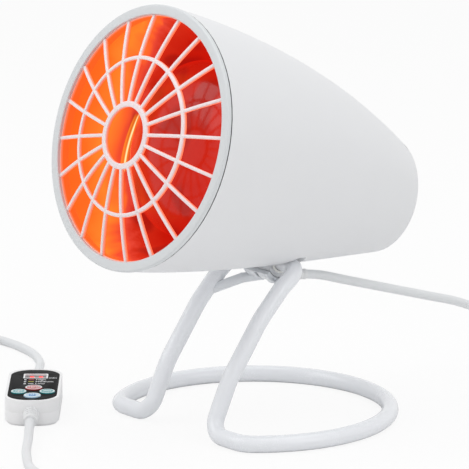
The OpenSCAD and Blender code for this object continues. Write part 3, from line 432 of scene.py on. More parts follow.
@dataclass(frozen=True)
class LightMap:
    """Where the lamp's painted light falls, as distances right and up from the middle of the hub, in
    millimetres.

    The painted orange and the painted deep red part along a curve, given by its least distance right, the depth
    of its middle and its bend. A painted reflection of the glowing wire shows as a streak beside it, given by
    its start, slope and bend. Its core and halo each fade between two distances, and its echo, a second painted
    reflection, lies a little to the left.
    """

    hub: Vector = field(default_factory=lambda: Vector((0, -0.116183, 0.220189)))
    right: Vector = field(default_factory=lambda: Vector((0.634, 0.773, 0)))
    up: Vector = field(default_factory=lambda: Vector((-0.172, 0.141, 0.975)))
    parting: tuple[float, float, float] = (-0.5, 33.0, 0.0022)
    streak: tuple[float, float, float] = (3.07, 0.305, 0.005)
    streak_low: float = -21.0
    streak_high: float = 18.0
    streak_fade: float = 4.0
    core: tuple[float, float] = (0.25, 0.9)
    halo: tuple[float, float] = (0.4, 3.4)
    echo: float = 2.5

    def place(self, shader: Shader) -> tuple[Value, Value]:
        """Distances right and up of the hub, in millimetres."""
        across = shader.beyond(self.right, self.hub) * (1 / MM)
        rise = shader.beyond(self.up, self.hub) * (1 / MM)
        return across, rise

    def side(self, across: Value, rise: Value) -> Value:
        """Distance beyond the curve where orange turns to red."""
        least, centre, bend = self.parting
        lifted = rise + centre
        return across - lifted * lifted * bend - least

    def wire(self, across: Value, rise: Value, shift: float) -> tuple[Value, Value]:
        """Painted reflection of the wire, as a streak of light.

        Args:
            across: The distance right of the hub.
            rise: The distance above it.
            shift: How far the streak is moved to the left.

        Returns:
            The bright core and the soft halo round it.
        """
        start, slope, bend = self.streak
        offset = across - start - rise * slope - rise * rise * bend + shift
        away = abs(offset)
        low = rise.smooth(self.streak_low - self.streak_fade, self.streak_low)
        high = rise.smooth(self.streak_high - self.streak_fade, self.streak_high)
        shown = low - high
        return (1 - away.smooth(*self.core)) * shown, (1 - away.smooth(*self.halo)) * shown


@dataclass(frozen=True)
class LitOptic(Finish):
    """Reflector or bulb, with painted light: orange on one side, deep red on the other, and a painted
    reflection of the wire.
    """

    shine: float = 1.0
    orange: tuple[tuple[float, Colour], ...] = (
        (0.0, linear(244, 88, 26)),
        (0.35, linear(250, 98, 26)),
        (0.62, linear(250, 108, 30)),
        (0.80, linear(253, 132, 42)),
        (0.93, linear(246, 100, 42)),
        (1.0, linear(230, 74, 46)),
    )
    red: tuple[tuple[float, Colour], ...] = (
        (0.0, linear(218, 66, 50)),
        (0.10, linear(196, 36, 18)),
        (0.30, linear(184, 18, 6)),
        (0.62, linear(190, 20, 8)),
        (0.85, linear(202, 40, 28)),
        (1.0, linear(182, 26, 16)),
    )
    dark_red: Colour = linear(134, 8, 10)
    # core and halo: colours of the painted reflection of the wire.
    core: Colour = linear(255, 240, 176)
    halo: Colour = linear(255, 146, 40)
    orange_width: float = 75.0
    red_width: float = 90.0
    soft: float = 1.6
    streak_scale: tuple[float, float, float] = (1, 0.35, 0.3)
    streak_size: float = 16 * MM
    fine_size: float = 4 * MM
    blotch_size: float = 28 * MM
    wander: float = 7.0
    orange_start: float = 0.8
    orange_streaks: float = 0.4
    red_start: float = -0.17
    red_streaks: float = 0.2
    red_fine: float = 0.14
    blotches: tuple[float, float] = (0.5, 0.66)
    blotch_share: float = 0.6
    echo_breaks: tuple[float, float] = (0.42, 0.56)
    halo_share: float = 0.7
    gloss_change: float = 0.1
    unlit: tuple[Colour, Colour] = ((0.09, 0.009, 0.003), (0.14, 0.018, 0.006))

    def build(self) -> bpy.types.Material:
        """Makes the material, with the painted light as its emission."""
        shader = Shader(self.name)
        light = LightMap()
        across, rise = light.place(shader)
        head = shader.on_head()
        stretched = shader.node("ShaderNodeMapping", {}, {"Vector": head, "Scale": self.streak_scale})
        streaks = shader.noise(self.streak_size, 2, place=stretched.outputs["Vector"])
        fine = shader.noise(self.fine_size, 4, place=head, rough=0.65)
        blotch = shader.noise(self.blotch_size, 1, place=head)
        side = light.side(across, rise) + streaks * self.wander - self.wander / 2
        left = side * (1 / self.orange_width) + streaks * self.orange_streaks + self.orange_start
        right = side * (1 / self.red_width) + fine * self.red_fine + streaks * self.red_streaks + self.red_start
        orange = self.ramp(shader, self.orange, left)
        red = self.ramp(shader, self.red, right)
        # Painted light: darker blotches in the painted deep red.
        deeper = shader.blend(blotch.smooth(*self.blotches) * self.blotch_share, red, self.dark_red)
        shade = shader.blend(side.smooth(-self.soft, self.soft), orange, deeper)
        core, halo = light.wire(across, rise, 0)
        echo, _ = light.wire(across, rise, light.echo)
        broken = echo * streaks.smooth(*self.echo_breaks) * self.halo_share
        painted_glow = shader.blend(halo * self.halo_share, shade, self.halo)
        echoed = shader.blend(broken, painted_glow, self.halo)
        # Painted light: the emission holds the lit orange and red and the painted reflection of the wire.
        shader.set(
            Base_Color=shader.blend(fine, *self.unlit),
            Emission_Color=shader.blend(core, echoed, self.core),
            Emission_Strength=self.shine,
            Roughness=streaks * self.gloss_change + (self.roughness - self.gloss_change / 2),
            Coat_Weight=self.coat,
            Alpha=self.alpha,
            Specular_IOR_Level=self.specular,
        )
        shader.bump(fine, self.depth)
        return shader.material

    @staticmethod
    def ramp(shader: Shader, stops: Sequence[tuple[float, Colour]], factor: Value) -> bpy.types.NodeSocket:
        """Colour from a ramp's stops."""
        return shader.node("ShaderNodeValToRGB", {"stops": stops}, {"Fac": factor}).outputs["Color"]


@dataclass(frozen=True)
class Board(Finish):
    """Circuit board with lighter copper tracks under its green mask."""

    tracks_per_metre: float = 130.0
    track_width: float = 0.06
    lighter: float = 1.8
    lift: float = 0.02

    def detail(self, shader: Shader, grain: Value, colour: bpy.types.NodeSocket) -> None:
        """Draws the tracks, as squared bands."""
        bricks = shader.node(
            "ShaderNodeTexBrick",
            {"offset": 0.5},
            {
                "Vector": shader.place,
                "Scale": self.tracks_per_metre,
                "Mortar Size": self.track_width,
                "Color1": self.colour,
                "Color2": self.colour,
                "Mortar": tuple(min(1.0, c * self.lighter + self.lift) for c in self.colour),
            },
        )
        shader.set(Base_Color=bricks.outputs["Color"])


class Finishes(Enum):
    """The finishes of this lamp's pieces."""

    # Shell and bezel carry painted shade in the seam between them.
    SHELL = SeamShaded("shell_plastic", linear(232, 233, 235), 0.42, 0.0006, 0.000015, 0.012)
    BEZEL = SeamShaded("bezel_plastic", linear(218, 221, 223), 0.38, 0.0005, 0.000012, 0.012)
    # The bars' faint pink tint and their orange sides are painted light from the lamp.
    BARS = PaintedGlowBars("grille_plastic", linear(236, 226, 228), 0.4, 0.0006, 0.000012, 0.012)
    # The reflector has no lamp of its own: all its glow is painted light.
    REFLECTOR = LitOptic("lit_reflector", (0.8, 0.2, 0.05), 0.45, depth=0.00004, specular=0.15, shine=1.0)
    # The bulb's glow is partly its own and partly painted light: the orange side and the reflection streak.
    BULB = LitOptic(
        "lit_bulb_glass", (0.6, 0.02, 0.01), 0.16,
        depth=0.00003, coat=0.1, specular=0.2, alpha=0.98, shine=0.97,
    )
    FILAMENT = Finish("glowing_wire", linear(255, 214, 120), 0.5, glow=6.0)
    STEM = Finish("stem_glass", linear(236, 230, 222), 0.12, coat=1.0, alpha=0.7)
    CAP = Brushed("rolled_cap", linear(206, 206, 200), 0.32, 0.0004, 0.00001, metallic=1.0)
    CERAMIC = Finish("glazed_ceramic", linear(240, 236, 226), 0.12, 0.002, 0.00002, coat=1.0)
    BRASS = Brushed("brass", linear(186, 152, 84), 0.3, 0.0004, 0.00001, metallic=1.0)
    BRACKET = Brushed("bracket_plate", linear(198, 200, 202), 0.34, 0.0003, 0.00001, metallic=1.0)
    SCREW = Brushed("zinc_screws", linear(176, 178, 182), 0.3, 0.0002, 0.00001, metallic=1.0)
    DARK_SCREW = Brushed("dark_screw", linear(92, 94, 98), 0.35, 0.0002, 0.00001, metallic=1.0)
    IVORY = Finish("terminal_plastic", linear(234, 230, 214), 0.45)
    WIRE = Finish("wire_sheath", linear(132, 134, 140), 0.5, 0.0004, 0.00002)
    PIVOT = Finish("pivot_plastic", linear(212, 214, 217), 0.42, 0.0005, 0.000015, 0.015)
    BUSH = Finish("bush_plastic", linear(243, 243, 239), 0.3)
    TUBE = Finish("tube_enamel", linear(240, 242, 246), 0.26, 0.0009, 0.00003, 0.012, coat=0.3)
    BRACE = Finish("brace_enamel", linear(228, 231, 235), 0.3, 0.0009, 0.00003, 0.015, coat=0.25)
    RELIEF = Finish("soft_relief", linear(232, 233, 234), 0.5, 0.0004, 0.00002, 0.02, sheen=0.1)
    CORD = Finish("cord_sheath", linear(229, 231, 233), 0.4, 0.0006, 0.00003, 0.02, sheen=0.05)
    CASE = Finish("controller_shell", linear(242, 242, 243), 0.3, 0.0006, 0.000012, 0.012, coat=0.2)
    FACE = Finish("black_face", linear(14, 14, 16), 0.5, 0.0004, 0.000008, 0.05, specular=0.04)
    FRAME = Finish("display_frame", linear(244, 245, 247), 0.3)
    WINDOW = Finish("display_window", linear(30, 8, 9), 0.12, coat=1.0)
    DIGIT = Finish("lit_digits", linear(255, 52, 46), 0.4, glow=1.1)
    BOARD = Board("circuit_board", linear(46, 108, 62), 0.35, coat=0.4)
    SWITCH = Finish("switch_plastic", linear(52, 52, 54), 0.45)
    KEY_RED = Finish("key_red", linear(196, 34, 38), 0.3, 0.0005, 0.000012, coat=0.3)
    KEY_TEAL = Finish("key_teal", linear(38, 156, 160), 0.3, 0.0005, 0.000012, coat=0.3)
    KEY_BLUE = Finish("key_blue", linear(176, 210, 236), 0.3, 0.0005, 0.000012, coat=0.3)
    RIM = Finish("key_rim", linear(226, 238, 240), 0.3)
    PRINT = Finish("white_print", linear(240, 241, 243), 0.45)
    PRINT_BLUE = Finish("blue_print", linear(96, 150, 206), 0.45)
    LED = Finish("led_lens", linear(240, 242, 246), 0.25, coat=0.6)
    DASH_RED = Finish("red_print", linear(226, 40, 40), 0.4)
    DASH_YELLOW = Finish("yellow_print", linear(222, 214, 60), 0.4)
    PLUG = Finish("plug_plastic", linear(232, 233, 235), 0.42, 0.0007, 0.00002)
    PIN = Brushed("plated_pins", linear(208, 208, 204), 0.2, 0.0003, 0.000008, metallic=1.0)


class Palette:
    """Materials that have been made, one for each finish in use."""

    made: dict[Finishes, bpy.types.Material] = {}

    @classmethod
    def of(cls, finish: Finishes) -> bpy.types.Material:
        """The material of a finish, made on first use."""
        if finish not in cls.made:
            cls.made[finish] = finish.value.build()
        return cls.made[finish]


# ------------------------------------------------------------ meshes

# Metres within which points of a spun piece, of a CAD node and of a curve's mesh become one.
WELD, CAD_WELD, CURVE_WELD = 1e-6, 2e-6, 1e-7
FLAT_ANGLE = math.radians(0.6)


def linked(name: str, data: bpy.types.ID) -> bpy.types.Object:
    """Adds an object with its data to the scene."""
    made = bpy.data.objects.new(name, data)
    bpy.context.scene.collection.objects.link(made)
    return made


class Solid:
    """A mesh in the making, with the operations that this lamp's pieces need."""

    def __init__(self) -> None:
        """Starts empty."""
        self.bm = bmesh.new()

    def turn(self, profile: Profile, closed: bool = True, steps: int = 128) -> "Solid":
        """Spins a profile of (radius, depth) points round the y axis.

        Args:
            profile: The points, in metres. Points on the axis close the shape there.
            closed: Whether the last point joins the first one.
            steps: The number of steps round.

        Returns:
            This solid.
        """
        verts = [self.bm.verts.new((radius, depth, 0)) for radius, depth in profile]
        pairs = list(zip(verts, verts[1:]))
        if closed:
            pairs.append((verts[-1], verts[0]))
        edges = [self.bm.edges.new(pair) for pair in pairs]
        bmesh.ops.spin(
            self.bm,
            geom=verts + edges,
            cent=(0, 0, 0),
            axis=(0, 1, 0),
            angle=2 * math.pi,
            steps=steps,
            use_merge=True,
        )
        bmesh.ops.remove_doubles(self.bm, verts=self.bm.verts, dist=WELD)
        return self.outward()

    def outward(self) -> "Solid":
        """Turns every face outward."""
        bmesh.ops.recalc_face_normals(self.bm, faces=self.bm.faces)
        return self

    def placed(self, matrix: Matrix) -> "Solid":
        """Moves everything by a matrix."""
        bmesh.ops.transform(self.bm, matrix=matrix, verts=self.bm.verts)
        return self

    def soften(self, width: float, angle: float = 32.0, segments: int = 3) -> "Solid":
        """Rounds the edges that are sharper than an angle.

        Args:
            width: The rounding's width, in metres.
            angle: The least angle between two faces, in degrees.
            segments: The number of segments of the rounding.

        Returns:
            This solid.
        """
        limit = math.radians(angle)
        sharp = [e for e in self.bm.edges if len(e.link_faces) == 2 and e.calc_face_angle(0) > limit]
        bmesh.ops.bevel(
            self.bm,
            geom=sharp,
            offset=width,
            offset_type="OFFSET",
            affect="EDGES",
            segments=segments,
            profile=0.5,
            clamp_overlap=True,
            material=-1,
        )
        return self

    def piece(self, name: str, finish: Finishes, smooth: float = 38.0) -> bpy.types.Object:
        """Makes the object.

        Args:
            name: The piece's name.
            finish: Its finish.
            smooth: The angle past which an edge stays sharp, in degrees.

        Returns:
            The object, at the origin.
        """
        limit = math.radians(smooth)
        for face in self.bm.faces:
            face.smooth = True
        for edge in self.bm.edges:
            edge.smooth = len(edge.link_faces) != 2 or edge.calc_face_angle(0) < limit
        mesh = bpy.data.meshes.new(name)
        self.bm.to_mesh(mesh)
        self.bm.free()
        mesh.materials.append(Palette.of(finish))
        return linked(name, mesh)


def arc(centre: tuple[float, float], radius: float, start: float, end: float, steps: int = 6) -> Profile:
    """Points along an arc of a profile.

    Args:
        centre: The arc's centre.
        radius: Its radius.
        start: The angle it starts at, in degrees.
        end: The angle it ends at, in degrees.
        steps: The number of steps.

    Returns:
        The points.
    """
    return [
        (centre[0] + radius * math.cos(math.radians(a)), centre[1] + radius * math.sin(math.radians(a)))
        for a in (start + (end - start) * k / steps for k in range(steps + 1))
    ]


def rounded(points: Profile, radius: float, steps: int = 4) -> Profile:
    """Rounds every corner of a closed outline.

    Args:
        points: The corners.
        radius: The rounding's radius, cut back where a side is short.
        steps: The number of steps in each corner.

    Returns:
        The rounded outline.
    """
    made: Profile = []
    count = len(points)
    for i in range(count):
        before, here, after = (Vector(points[(i + k) % count]) for k in (-1, 0, 1))
        back, on = before - here, after - here
        cut = min(radius, back.length * 0.45, on.length * 0.45)
        start, end = here + back.normalized() * cut, here + on.normalized() * cut
        for k in range(steps + 1):
            t = k / steps
            made.append(tuple((1 - t) ** 2 * start + 2 * t * (1 - t) * here + t * t * end))
    return made


def mm(points: Iterable[Sequence[float]]) -> list[tuple[float, ...]]:
    """Points in metres, from millimetres."""
    return [tuple(c * MM for c in point) for point in points]


def cad_copy(node: str) -> Solid:
    """Merged copy of a CAD node's mesh, with its flat faces made whole."""
    solid = Solid()
    solid.bm.from_mesh(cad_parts[node].data)
    bmesh.ops.remove_doubles(solid.bm, verts=solid.bm.verts, dist=CAD_WELD)
    bmesh.ops.dissolve_limit(solid.bm, angle_limit=FLAT_ANGLE, verts=solid.bm.verts, edges=solid.bm.edges)
    return solid


def seat(piece: bpy.types.Object, body: str, slot: str, *nodes: str) -> bpy.types.Object:
    """Attaches a finished piece to its body and hides the CAD nodes that it replaces.

    Args:
        piece: The piece.
        body: The body that it rides on.
        slot: Not used.
        nodes: The CAD nodes that it replaces.

    Returns:
        The piece.
    """
    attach(piece, body)
    if nodes:
        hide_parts(*nodes)
    return piece


@dataclass(frozen=True)
class Dressed:
    """A CAD node that keeps its shape, with rounded edges and a finish."""

    node: str
    finish: Finishes
    slot: str
    width: float = 0.0
    body: str = "root"

    def build(self) -> bpy.types.Object:
        """Copies the node, rounds its edges and gives it its finish."""
        solid = cad_copy(self.node)
        if self.width:
            solid.soften(self.width)
        made = solid.piece(f"{self.node}_piece", self.finish)
        return seat(made, self.body, self.slot, self.node)


def line_piece(
    name: str, points: Sequence[Sequence[float]], radius: float, finish: Finishes, sides: int = 6
) -> bpy.types.Object:
    """Round bar or cord along points, as a curve of one open spline.

    Args:
        name: The piece's name.
        points: The points of its middle line, in metres.
        radius: Its radius, in metres.
        finish: Its finish.
        sides: The curve's bevel resolution.

    Returns:
        The curve's object.
    """
    data = bpy.data.curves.new(name, "CURVE")
    data.dimensions = "3D"
    spline = data.splines.new("POLY")
    spline.points.add(len(points) - 1)
    for target, point in zip(spline.points, points):
        target.co = (*point, 1)
    data.bevel_depth = radius
    data.bevel_resolution = sides
    data.use_fill_caps = True
    data.materials.append(Palette.of(finish))
    return linked(name, data)


def as_mesh(curve: bpy.types.Object) -> bpy.types.Object:
    """Replaces a curve or text object by its mesh, merged and turned outward."""
    solid = Solid()
    evaluated = curve.evaluated_get(bpy.context.evaluated_depsgraph_get())
    solid.bm.from_mesh(evaluated.to_mesh())
    evaluated.to_mesh_clear()
    name = curve.name
    material = curve.data.materials[0]
    bpy.data.objects.remove(curve)
    bmesh.ops.remove_doubles(solid.bm, verts=solid.bm.verts, dist=CURVE_WELD)
    solid.outward()
    for face in solid.bm.faces:
        face.smooth = True
    mesh = bpy.data.meshes.new(name)
    solid.bm.to_mesh(mesh)
    solid.bm.free()
    mesh.materials.append(material)
    return linked(name, mesh)


# ------------------------------------------------------------ camera, light and floor


@dataclass(frozen=True)
class Lamp:
    """A square soft lamp, with its size in metres and its power in watts."""

    name: str
    place: tuple[float, float, float]
    size: float
    power: float

    def hang(self, aim_at: Sequence[float]) -> None:
        """Hangs the lamp, turned towards a point."""
        data = bpy.data.lights.new(self.name, "AREA")
        data.size = self.size
        data.energy = self.power
        lamp = linked(self.name, data)
        lamp.location = self.place
        aim = Vector(aim_at) - Vector(self.place)
        lamp.rotation_euler = aim.to_track_quat("-Z", "Y").to_euler()


@dataclass
class Studio:
    """The camera at the photograph's angle, the floor and the soft light.

    The photograph shows the floor under the stand's middle, stand_at, at the pixel origin_px.
    """

    azimuth: float = math.radians(50.63)
    elevation: float = math.radians(12.85)
    distance: float = 3.196
    lens: float = 343.64
    sensor: float = 36.0
    far: float = 20.0
    stand_at: tuple[float, float, float] = (0, -0.00188, 0)
    origin_px: tuple[float, float] = (250.7, 416.6)
    middle_px: float = 234.5
    metres_per_px: float = 0.000714
    world_light: float = 0.62
    lamps: tuple[Lamp, ...] = (
        Lamp("key", (-0.9, -1.5, 1.9), 1.6, 15.0),
        Lamp("top", (0.3, 0.2, 2.2), 1.8, 12.0),
        Lamp("side", (2.2, 0.2, 1.2), 1.4, 7.0),
    )
    aim_at: tuple[float, float, float] = (0, 0, 0.15)
    floor_reach: float = 6.0
    floor_drop: float = 0.2 * MM
    paper: tuple[Colour, Colour] = ((0.86, 0.86, 0.86), (0.9, 0.9, 0.9))
    paper_grain: float = 2 * MM
    floor_white: float = 0.88

    def build(self) -> None:
        """Makes the camera, the lamps, the world and the floor."""
        self.camera()
        self.light()
        self.floor()
        bpy.context.scene.view_settings.view_transform = "Standard"

    def camera(self) -> None:
        """Places the camera so that the lamp fills the photograph's frame."""
        turn = Euler((math.pi / 2 - self.elevation, 0, self.azimuth)).to_matrix()
        right, up, back = (turn @ Vector(axis) for axis in ((1, 0, 0), (0, 1, 0), (0, 0, 1)))
        across = (self.middle_px - self.origin_px[0]) * self.metres_per_px
        rise = (self.origin_px[1] - self.middle_px) * self.metres_per_px
        data = bpy.data.cameras.new("camera")
        data.lens = self.lens
        data.sensor_width = self.sensor
        data.clip_end = self.far
        made = linked("camera", data)
        made.location = Vector(self.stand_at) + back * self.distance + right * across + up * rise
        made.rotation_euler = turn.to_euler()
        bpy.context.scene.camera = made

    def light(self) -> None:
        """Hangs the soft lamps and sets the world's even light, white where it is seen."""
        for lamp in self.lamps:
            lamp.hang(self.aim_at)
        world = bpy.data.worlds.new("world")
        bpy.context.scene.world = world
        world.use_nodes = True
        sky = Nodes(world.node_tree)
        path = sky.node("ShaderNodeLightPath")
        camera, through, gloss = (
            Value(sky, path.outputs[f"Is {ray} Ray"]) for ray in ("Camera", "Transmission", "Glossy")
        )
        seen = camera.larger(through).larger(gloss)
        strength = seen * (1 - self.world_light) + self.world_light
        white = sky.node("ShaderNodeBackground", {}, {"Color": (1, 1, 1), "Strength": strength})
        sky.node("ShaderNodeOutputWorld", {}, {"Surface": white.outputs["Background"]})

    def floor(self) -> None:
        """Lays a white floor that keeps a soft shadow."""
        bm = bmesh.new()
        bmesh.ops.create_grid(bm, x_segments=8, y_segments=8, size=self.floor_reach)
        mesh = bpy.data.meshes.new("floor")
        bm.to_mesh(mesh)
        bm.free()
        made = linked("floor", mesh)
        made.location.z = -self.floor_drop
        shader = Shader("floor_paper")
        grain = shader.noise(self.paper_grain, 3)
        shader.set(Base_Color=shader.blend(grain, *self.paper), Roughness=0.9)
        path = shader.node("ShaderNodeLightPath")
        seen = Value(shader, path.outputs["Is Camera Ray"])
        white = shader.node("ShaderNodeEmission", {}, {"Strength": 1.0})
        both = {1: shader.surface.outputs["BSDF"], 2: white.outputs["Emission"]}
        mixed = shader.node("ShaderNodeMixShader", {}, {"Fac": seen * self.floor_white, **both})
        shader.put(shader.output.inputs["Surface"], mixed.outputs["Shader"])
        mesh.materials.append(shader.material)


# ------------------------------------------------------------ cords


@dataclass
class Cords:
    """The mains cord: from the stand to the controller, and on to its coil and plug."""

    diameter: float = 6.6 * MM
    lead_length: float = 1.03
    tail_length: float = 0.72
    step: float = 0.006
    relief_end: float = 64.3 * MM
    relief_z: float = 9 * MM
    lead_route: tuple[tuple[float, float, float], ...] = (
        (0, 64, 94), (0, 82, 88.5), (0, 110, 80), (0, 140, 71), (0, 170, 62), (0, 196, 54),
        (3, 216, 45), (12, 232, 32), (28, 240, 18), (48, 238, 8), (70, 227, 3.4), (100, 205, 3.4),
        (150, 160, 3.4), (205, 100, 3.4), (235, 50, 3.4), (244, 0, 3.4), (236, -55, 3.4),
        (212, -110, 3.4), (170, -165, 3.4), (120, -200, 3.4), (70, -217, 3.4), (25, -214, 3.4),
        (-10, -194, 3.8), (-36, -173, 6),
    )
    tail_route: tuple[tuple[float, float, float], ...] = (
        (-184, -52, 7), (-206, -35, 4), (-231, -22, 3.4), (-259, -16, 3.4), (-286, -15.5, 3.4),
    )
    coil_at: tuple[float, float, float] = (-314, -54, 3.3)
    coil_radius: float = 38.5
    coil_pitch: float = 8.3
    coil_layer: float = 7.1
    inward_turns: float = 1.0
    climb_turns: float = 0.5
    coil_steps: int = 48
    plug_run: float = 16.0

    def build(self) -> list[bpy.types.Object]:
        """Makes both cords.

        Returns:
            The cords' objects.
        """
        lead = self.cord("mains_lead", self.lead_points(), ("lead_cord",))
        tail = self.cord("mains_tail", self.tail_points(), ("tail_cord", "cord_coil"))
        return [lead, tail]

    def cord(self, name: str, points: Sequence[Vector], nodes: tuple[str, ...]) -> bpy.types.Object:
        """One stretch of cord along points, in place of its CAD nodes."""
        made = line_piece(name, points, self.diameter / 2, Finishes.CORD, 4)
        return seat(made, "root", "cord", *nodes)

    def controller_end(self, side: int) -> Vector:
        """Tip of the controller's relief, at its near (-1) or far (1) end."""
        return LAYOUT.controller() @ Vector((0, side * self.relief_end, self.relief_z))

    def lead_points(self) -> list[Vector]:
        """Smooth line from the stand to the controller."""
        inner = [Vector(p) for p in mm(self.lead_route)]
        return self.smooth([LAYOUT.relief_tip, *inner, self.controller_end(-1)])

    def tail_points(self) -> list[Vector]:
        """Smooth line from the controller to the coil, and the coil's turns."""
        inner = [Vector(p) for p in mm(self.tail_route)]
        turns = 2 * self.inward_turns + self.climb_turns
        coil = [self.coil_point(s) for s in range(int(self.coil_steps * turns) + 1)]
        start = coil[0] + Vector((self.diameter, 0, 0))
        end = coil[-1] + Vector((self.plug_run * MM, 0, 0))
        return self.smooth([self.controller_end(1), *inner, start])[:-1] + [start, *coil, end]

    def coil_point(self, s: int) -> Vector:
        """Point s of the coil: in for a turn, half a turn up, and out again on top."""
        turn = s / self.coil_steps
        climb = min(max((turn - self.inward_turns) / self.climb_turns, 0), 1)
        inward = min(turn, self.inward_turns) - max(turn - self.inward_turns - self.climb_turns, 0)
        radius = self.coil_radius - self.coil_pitch * inward
        angle = math.pi / 2 + 2 * math.pi * turn
        place = Vector((radius * math.cos(angle), radius * math.sin(angle), self.coil_layer * climb))
        return (Vector(self.coil_at) + place) * MM

    def smooth(self, points: Sequence[Vector]) -> list[Vector]:
        """Smooth curve through points, cut into short steps."""
        made: list[Vector] = []
        last = len(points) - 1
        for i in range(last):
            a, b, c, d = (points[min(max(i + k, 0), last)] for k in (-1, 0, 1, 2))
            parts = max(1, math.ceil((c - b).length / self.step))
            for k in range(parts):
                t = k / parts
                made.append(
                    0.5 * (2 * b + (c - a) * t + (2 * a - 5 * b + 4 * c - d) * t * t
                    + (3 * b - a - 3 * c + d) * t ** 3)
                )
        return made + [points[last]]


# ------------------------------------------------------------ the head


@dataclass
class Head:
    """Shell, bezel, grille and optics of the head, on the head's own axes."""

    length: float = 231.5
    rim_r: float = 93.4
    even_taper: float = 18.1
    rear_taper: float = 33.0
    mid_rise: float = 5.5
    rear_drop: float = 11.4
    bezel_in: float = 86.3
    bezel_depth: float = 3.35
    seam_end: float = 4.1
    spigot_r: float = 89.65
    spigot_end: float = 10.0
    grille_rim_r: float = 87.95
    dome_r: float = 257.0
    dome_y: float = 243.48
    hub_r: float = 21.8
    hub_w: float = 4.2
    ring_r: float = 55.0
    ring_w: float = 2.8
    spokes: int = 20
    spoke_w: float = 2.5
    spoke_depth: float = 3.2
    skin_end: float = 0.99
    skin_reach: float = 0.6
    skin_facing: float = 0.9
    body: str = "head"

    def build(self) -> list[bpy.types.Object]:
        """Makes every piece of the head."""
        return [
            self.shell(),
            self.bezel(),
            self.grille(),
            self.reflector(),
            self.bulb(),
            self.filament(),
            *(part.build() for part in self.dressed()),
        ]

    def dressed(self) -> list[Dressed]:
        """The head's pieces that keep their CAD shape."""
        head = self.body
        return [
            Dressed("bulb_stem", Finishes.STEM, "stem_glass", 0, head),
            Dressed("bulb_cap", Finishes.CAP, "bulb_cap", 0, head),
            Dressed("lampholder", Finishes.CERAMIC, "ceramic", 0.0006, head),
            Dressed("holder_thread", Finishes.BRASS, "brass", 0, head),
            Dressed("holder_contact", Finishes.BRASS, "brass", 0.0002, head),
            Dressed("holder_bracket", Finishes.BRACKET, "bracket_metal", 0.0004, head),
            Dressed("holder_screws", Finishes.SCREW, "screws", 0.0003, head),
            Dressed("bracket_screws", Finishes.SCREW, "screws", 0.0003, head),
            Dressed("terminal_block", Finishes.IVORY, "terminal_block", 0.0004, head),
            Dressed("head_wires", Finishes.WIRE, "wires", 0, head),
            Dressed("pivot_cap", Finishes.PIVOT, "pivot_cap", 0.0003, head),
            Dressed("pivot_cap_screws", Finishes.SCREW, "screws", 0.0002, head),
            Dressed("pivot_bushes", Finishes.BUSH, "bushes", 0.0002, head),
            Dressed("stop_screw", Finishes.DARK_SCREW, "stop_screw", 0.0002, head),
        ]

    def section_r(self, share: float) -> float:
        """Radius of the shell's section at a share of its length, in millimetres."""
        return self.rim_r - self.even_taper * share - self.rear_taper * share**2

    def section_drop(self, share: float) -> float:
        """How far the section's middle lies below the head's axis, in millimetres."""
        return self.rear_drop * share**3 - self.mid_rise * share

    def shell(self) -> bpy.types.Object:
        """The housing, whose outer skin is shaded as the true curved surface."""
        solid = cad_copy("housing")
        made = solid.piece("head_shell", Finishes.SHELL, 28)
        mesh = made.data
        turn = LAYOUT.head()
        back = turn.inverted()
        normals = []
        for polygon in mesh.polygons:
            for index in polygon.loop_indices:
                vertex = back @ mesh.vertices[mesh.loops[index].vertex_index].co
                given = mesh.corner_normals[index].vector
                normals.append(self.skin_normal(vertex, turn, polygon.normal, given))
        mesh.normals_split_custom_set(normals)
        return seat(made, self.body, "housing", "housing")

    def skin_normal(self, at: Vector, turn: Matrix, flat: Vector, given: Vector) -> Vector:
        """Normal of the shell's true surface, if the point lies on its outer skin.

        Args:
            at: The point on the head's axes.
            turn: The head's matrix.
            flat: The face's own normal.
            given: The normal that the mesh has there.

        Returns:
            The normal to shade with.
        """
        share = at.y / MM / self.length
        centre = -self.section_drop(share) * MM
        radial = Vector((at.x, 0, at.z - centre))
        if share > self.skin_end or abs(radial.length / MM - self.section_r(share)) > self.skin_reach:
            return Vector(given)
        slope = (self.even_taper + 2 * self.rear_taper * share) / self.length
        sink = (3 * self.rear_drop * share**2 - self.mid_rise) / self.length
        outward = radial.normalized()
        true = turn.to_3x3() @ Vector((outward.x, slope + sink * outward.z, outward.z)).normalized()
        return true if true.dot(flat) > self.skin_facing else Vector(given)

    def turned(self, name: str, finish: Finishes, profile: Profile, steps: int = 192) -> bpy.types.Object:
        """A piece spun from a closed profile in millimetres."""
        return Solid().turn(mm(profile), steps=steps).placed(LAYOUT.head()).piece(name, finish)

    def bezel(self) -> bpy.types.Object:
        """Bezel ring with a soft front edge, and its spigot."""
        lip, chamfer, front_ease, back_ease = 2.4, 0.5, 1.3, 0.3
        rim_gap = self.grille_rim_r + 0.2
        seam_r = self.rim_r - 1.2
        profile = [
            (self.bezel_in, chamfer), (self.bezel_in + chamfer, 0.0),
            *arc((self.rim_r - front_ease, front_ease), front_ease, -90, 0),
            (self.rim_r, self.bezel_depth - back_ease), (self.rim_r - back_ease, self.bezel_depth),
            (seam_r, self.bezel_depth), (seam_r, self.seam_end),
            (self.spigot_r, self.seam_end), (self.spigot_r, self.spigot_end),
            (rim_gap, self.spigot_end), (rim_gap, lip), (self.bezel_in, lip),
        ]
        made = self.turned("bezel", Finishes.BEZEL, profile, 256)
        return seat(made, self.body, "bezel", "bezel_ring")

    def dome(self, radius: float) -> float:
        """Depth of the dome's front at a radius, in millimetres."""
        return self.dome_y - math.sqrt(self.dome_r**2 - radius**2)

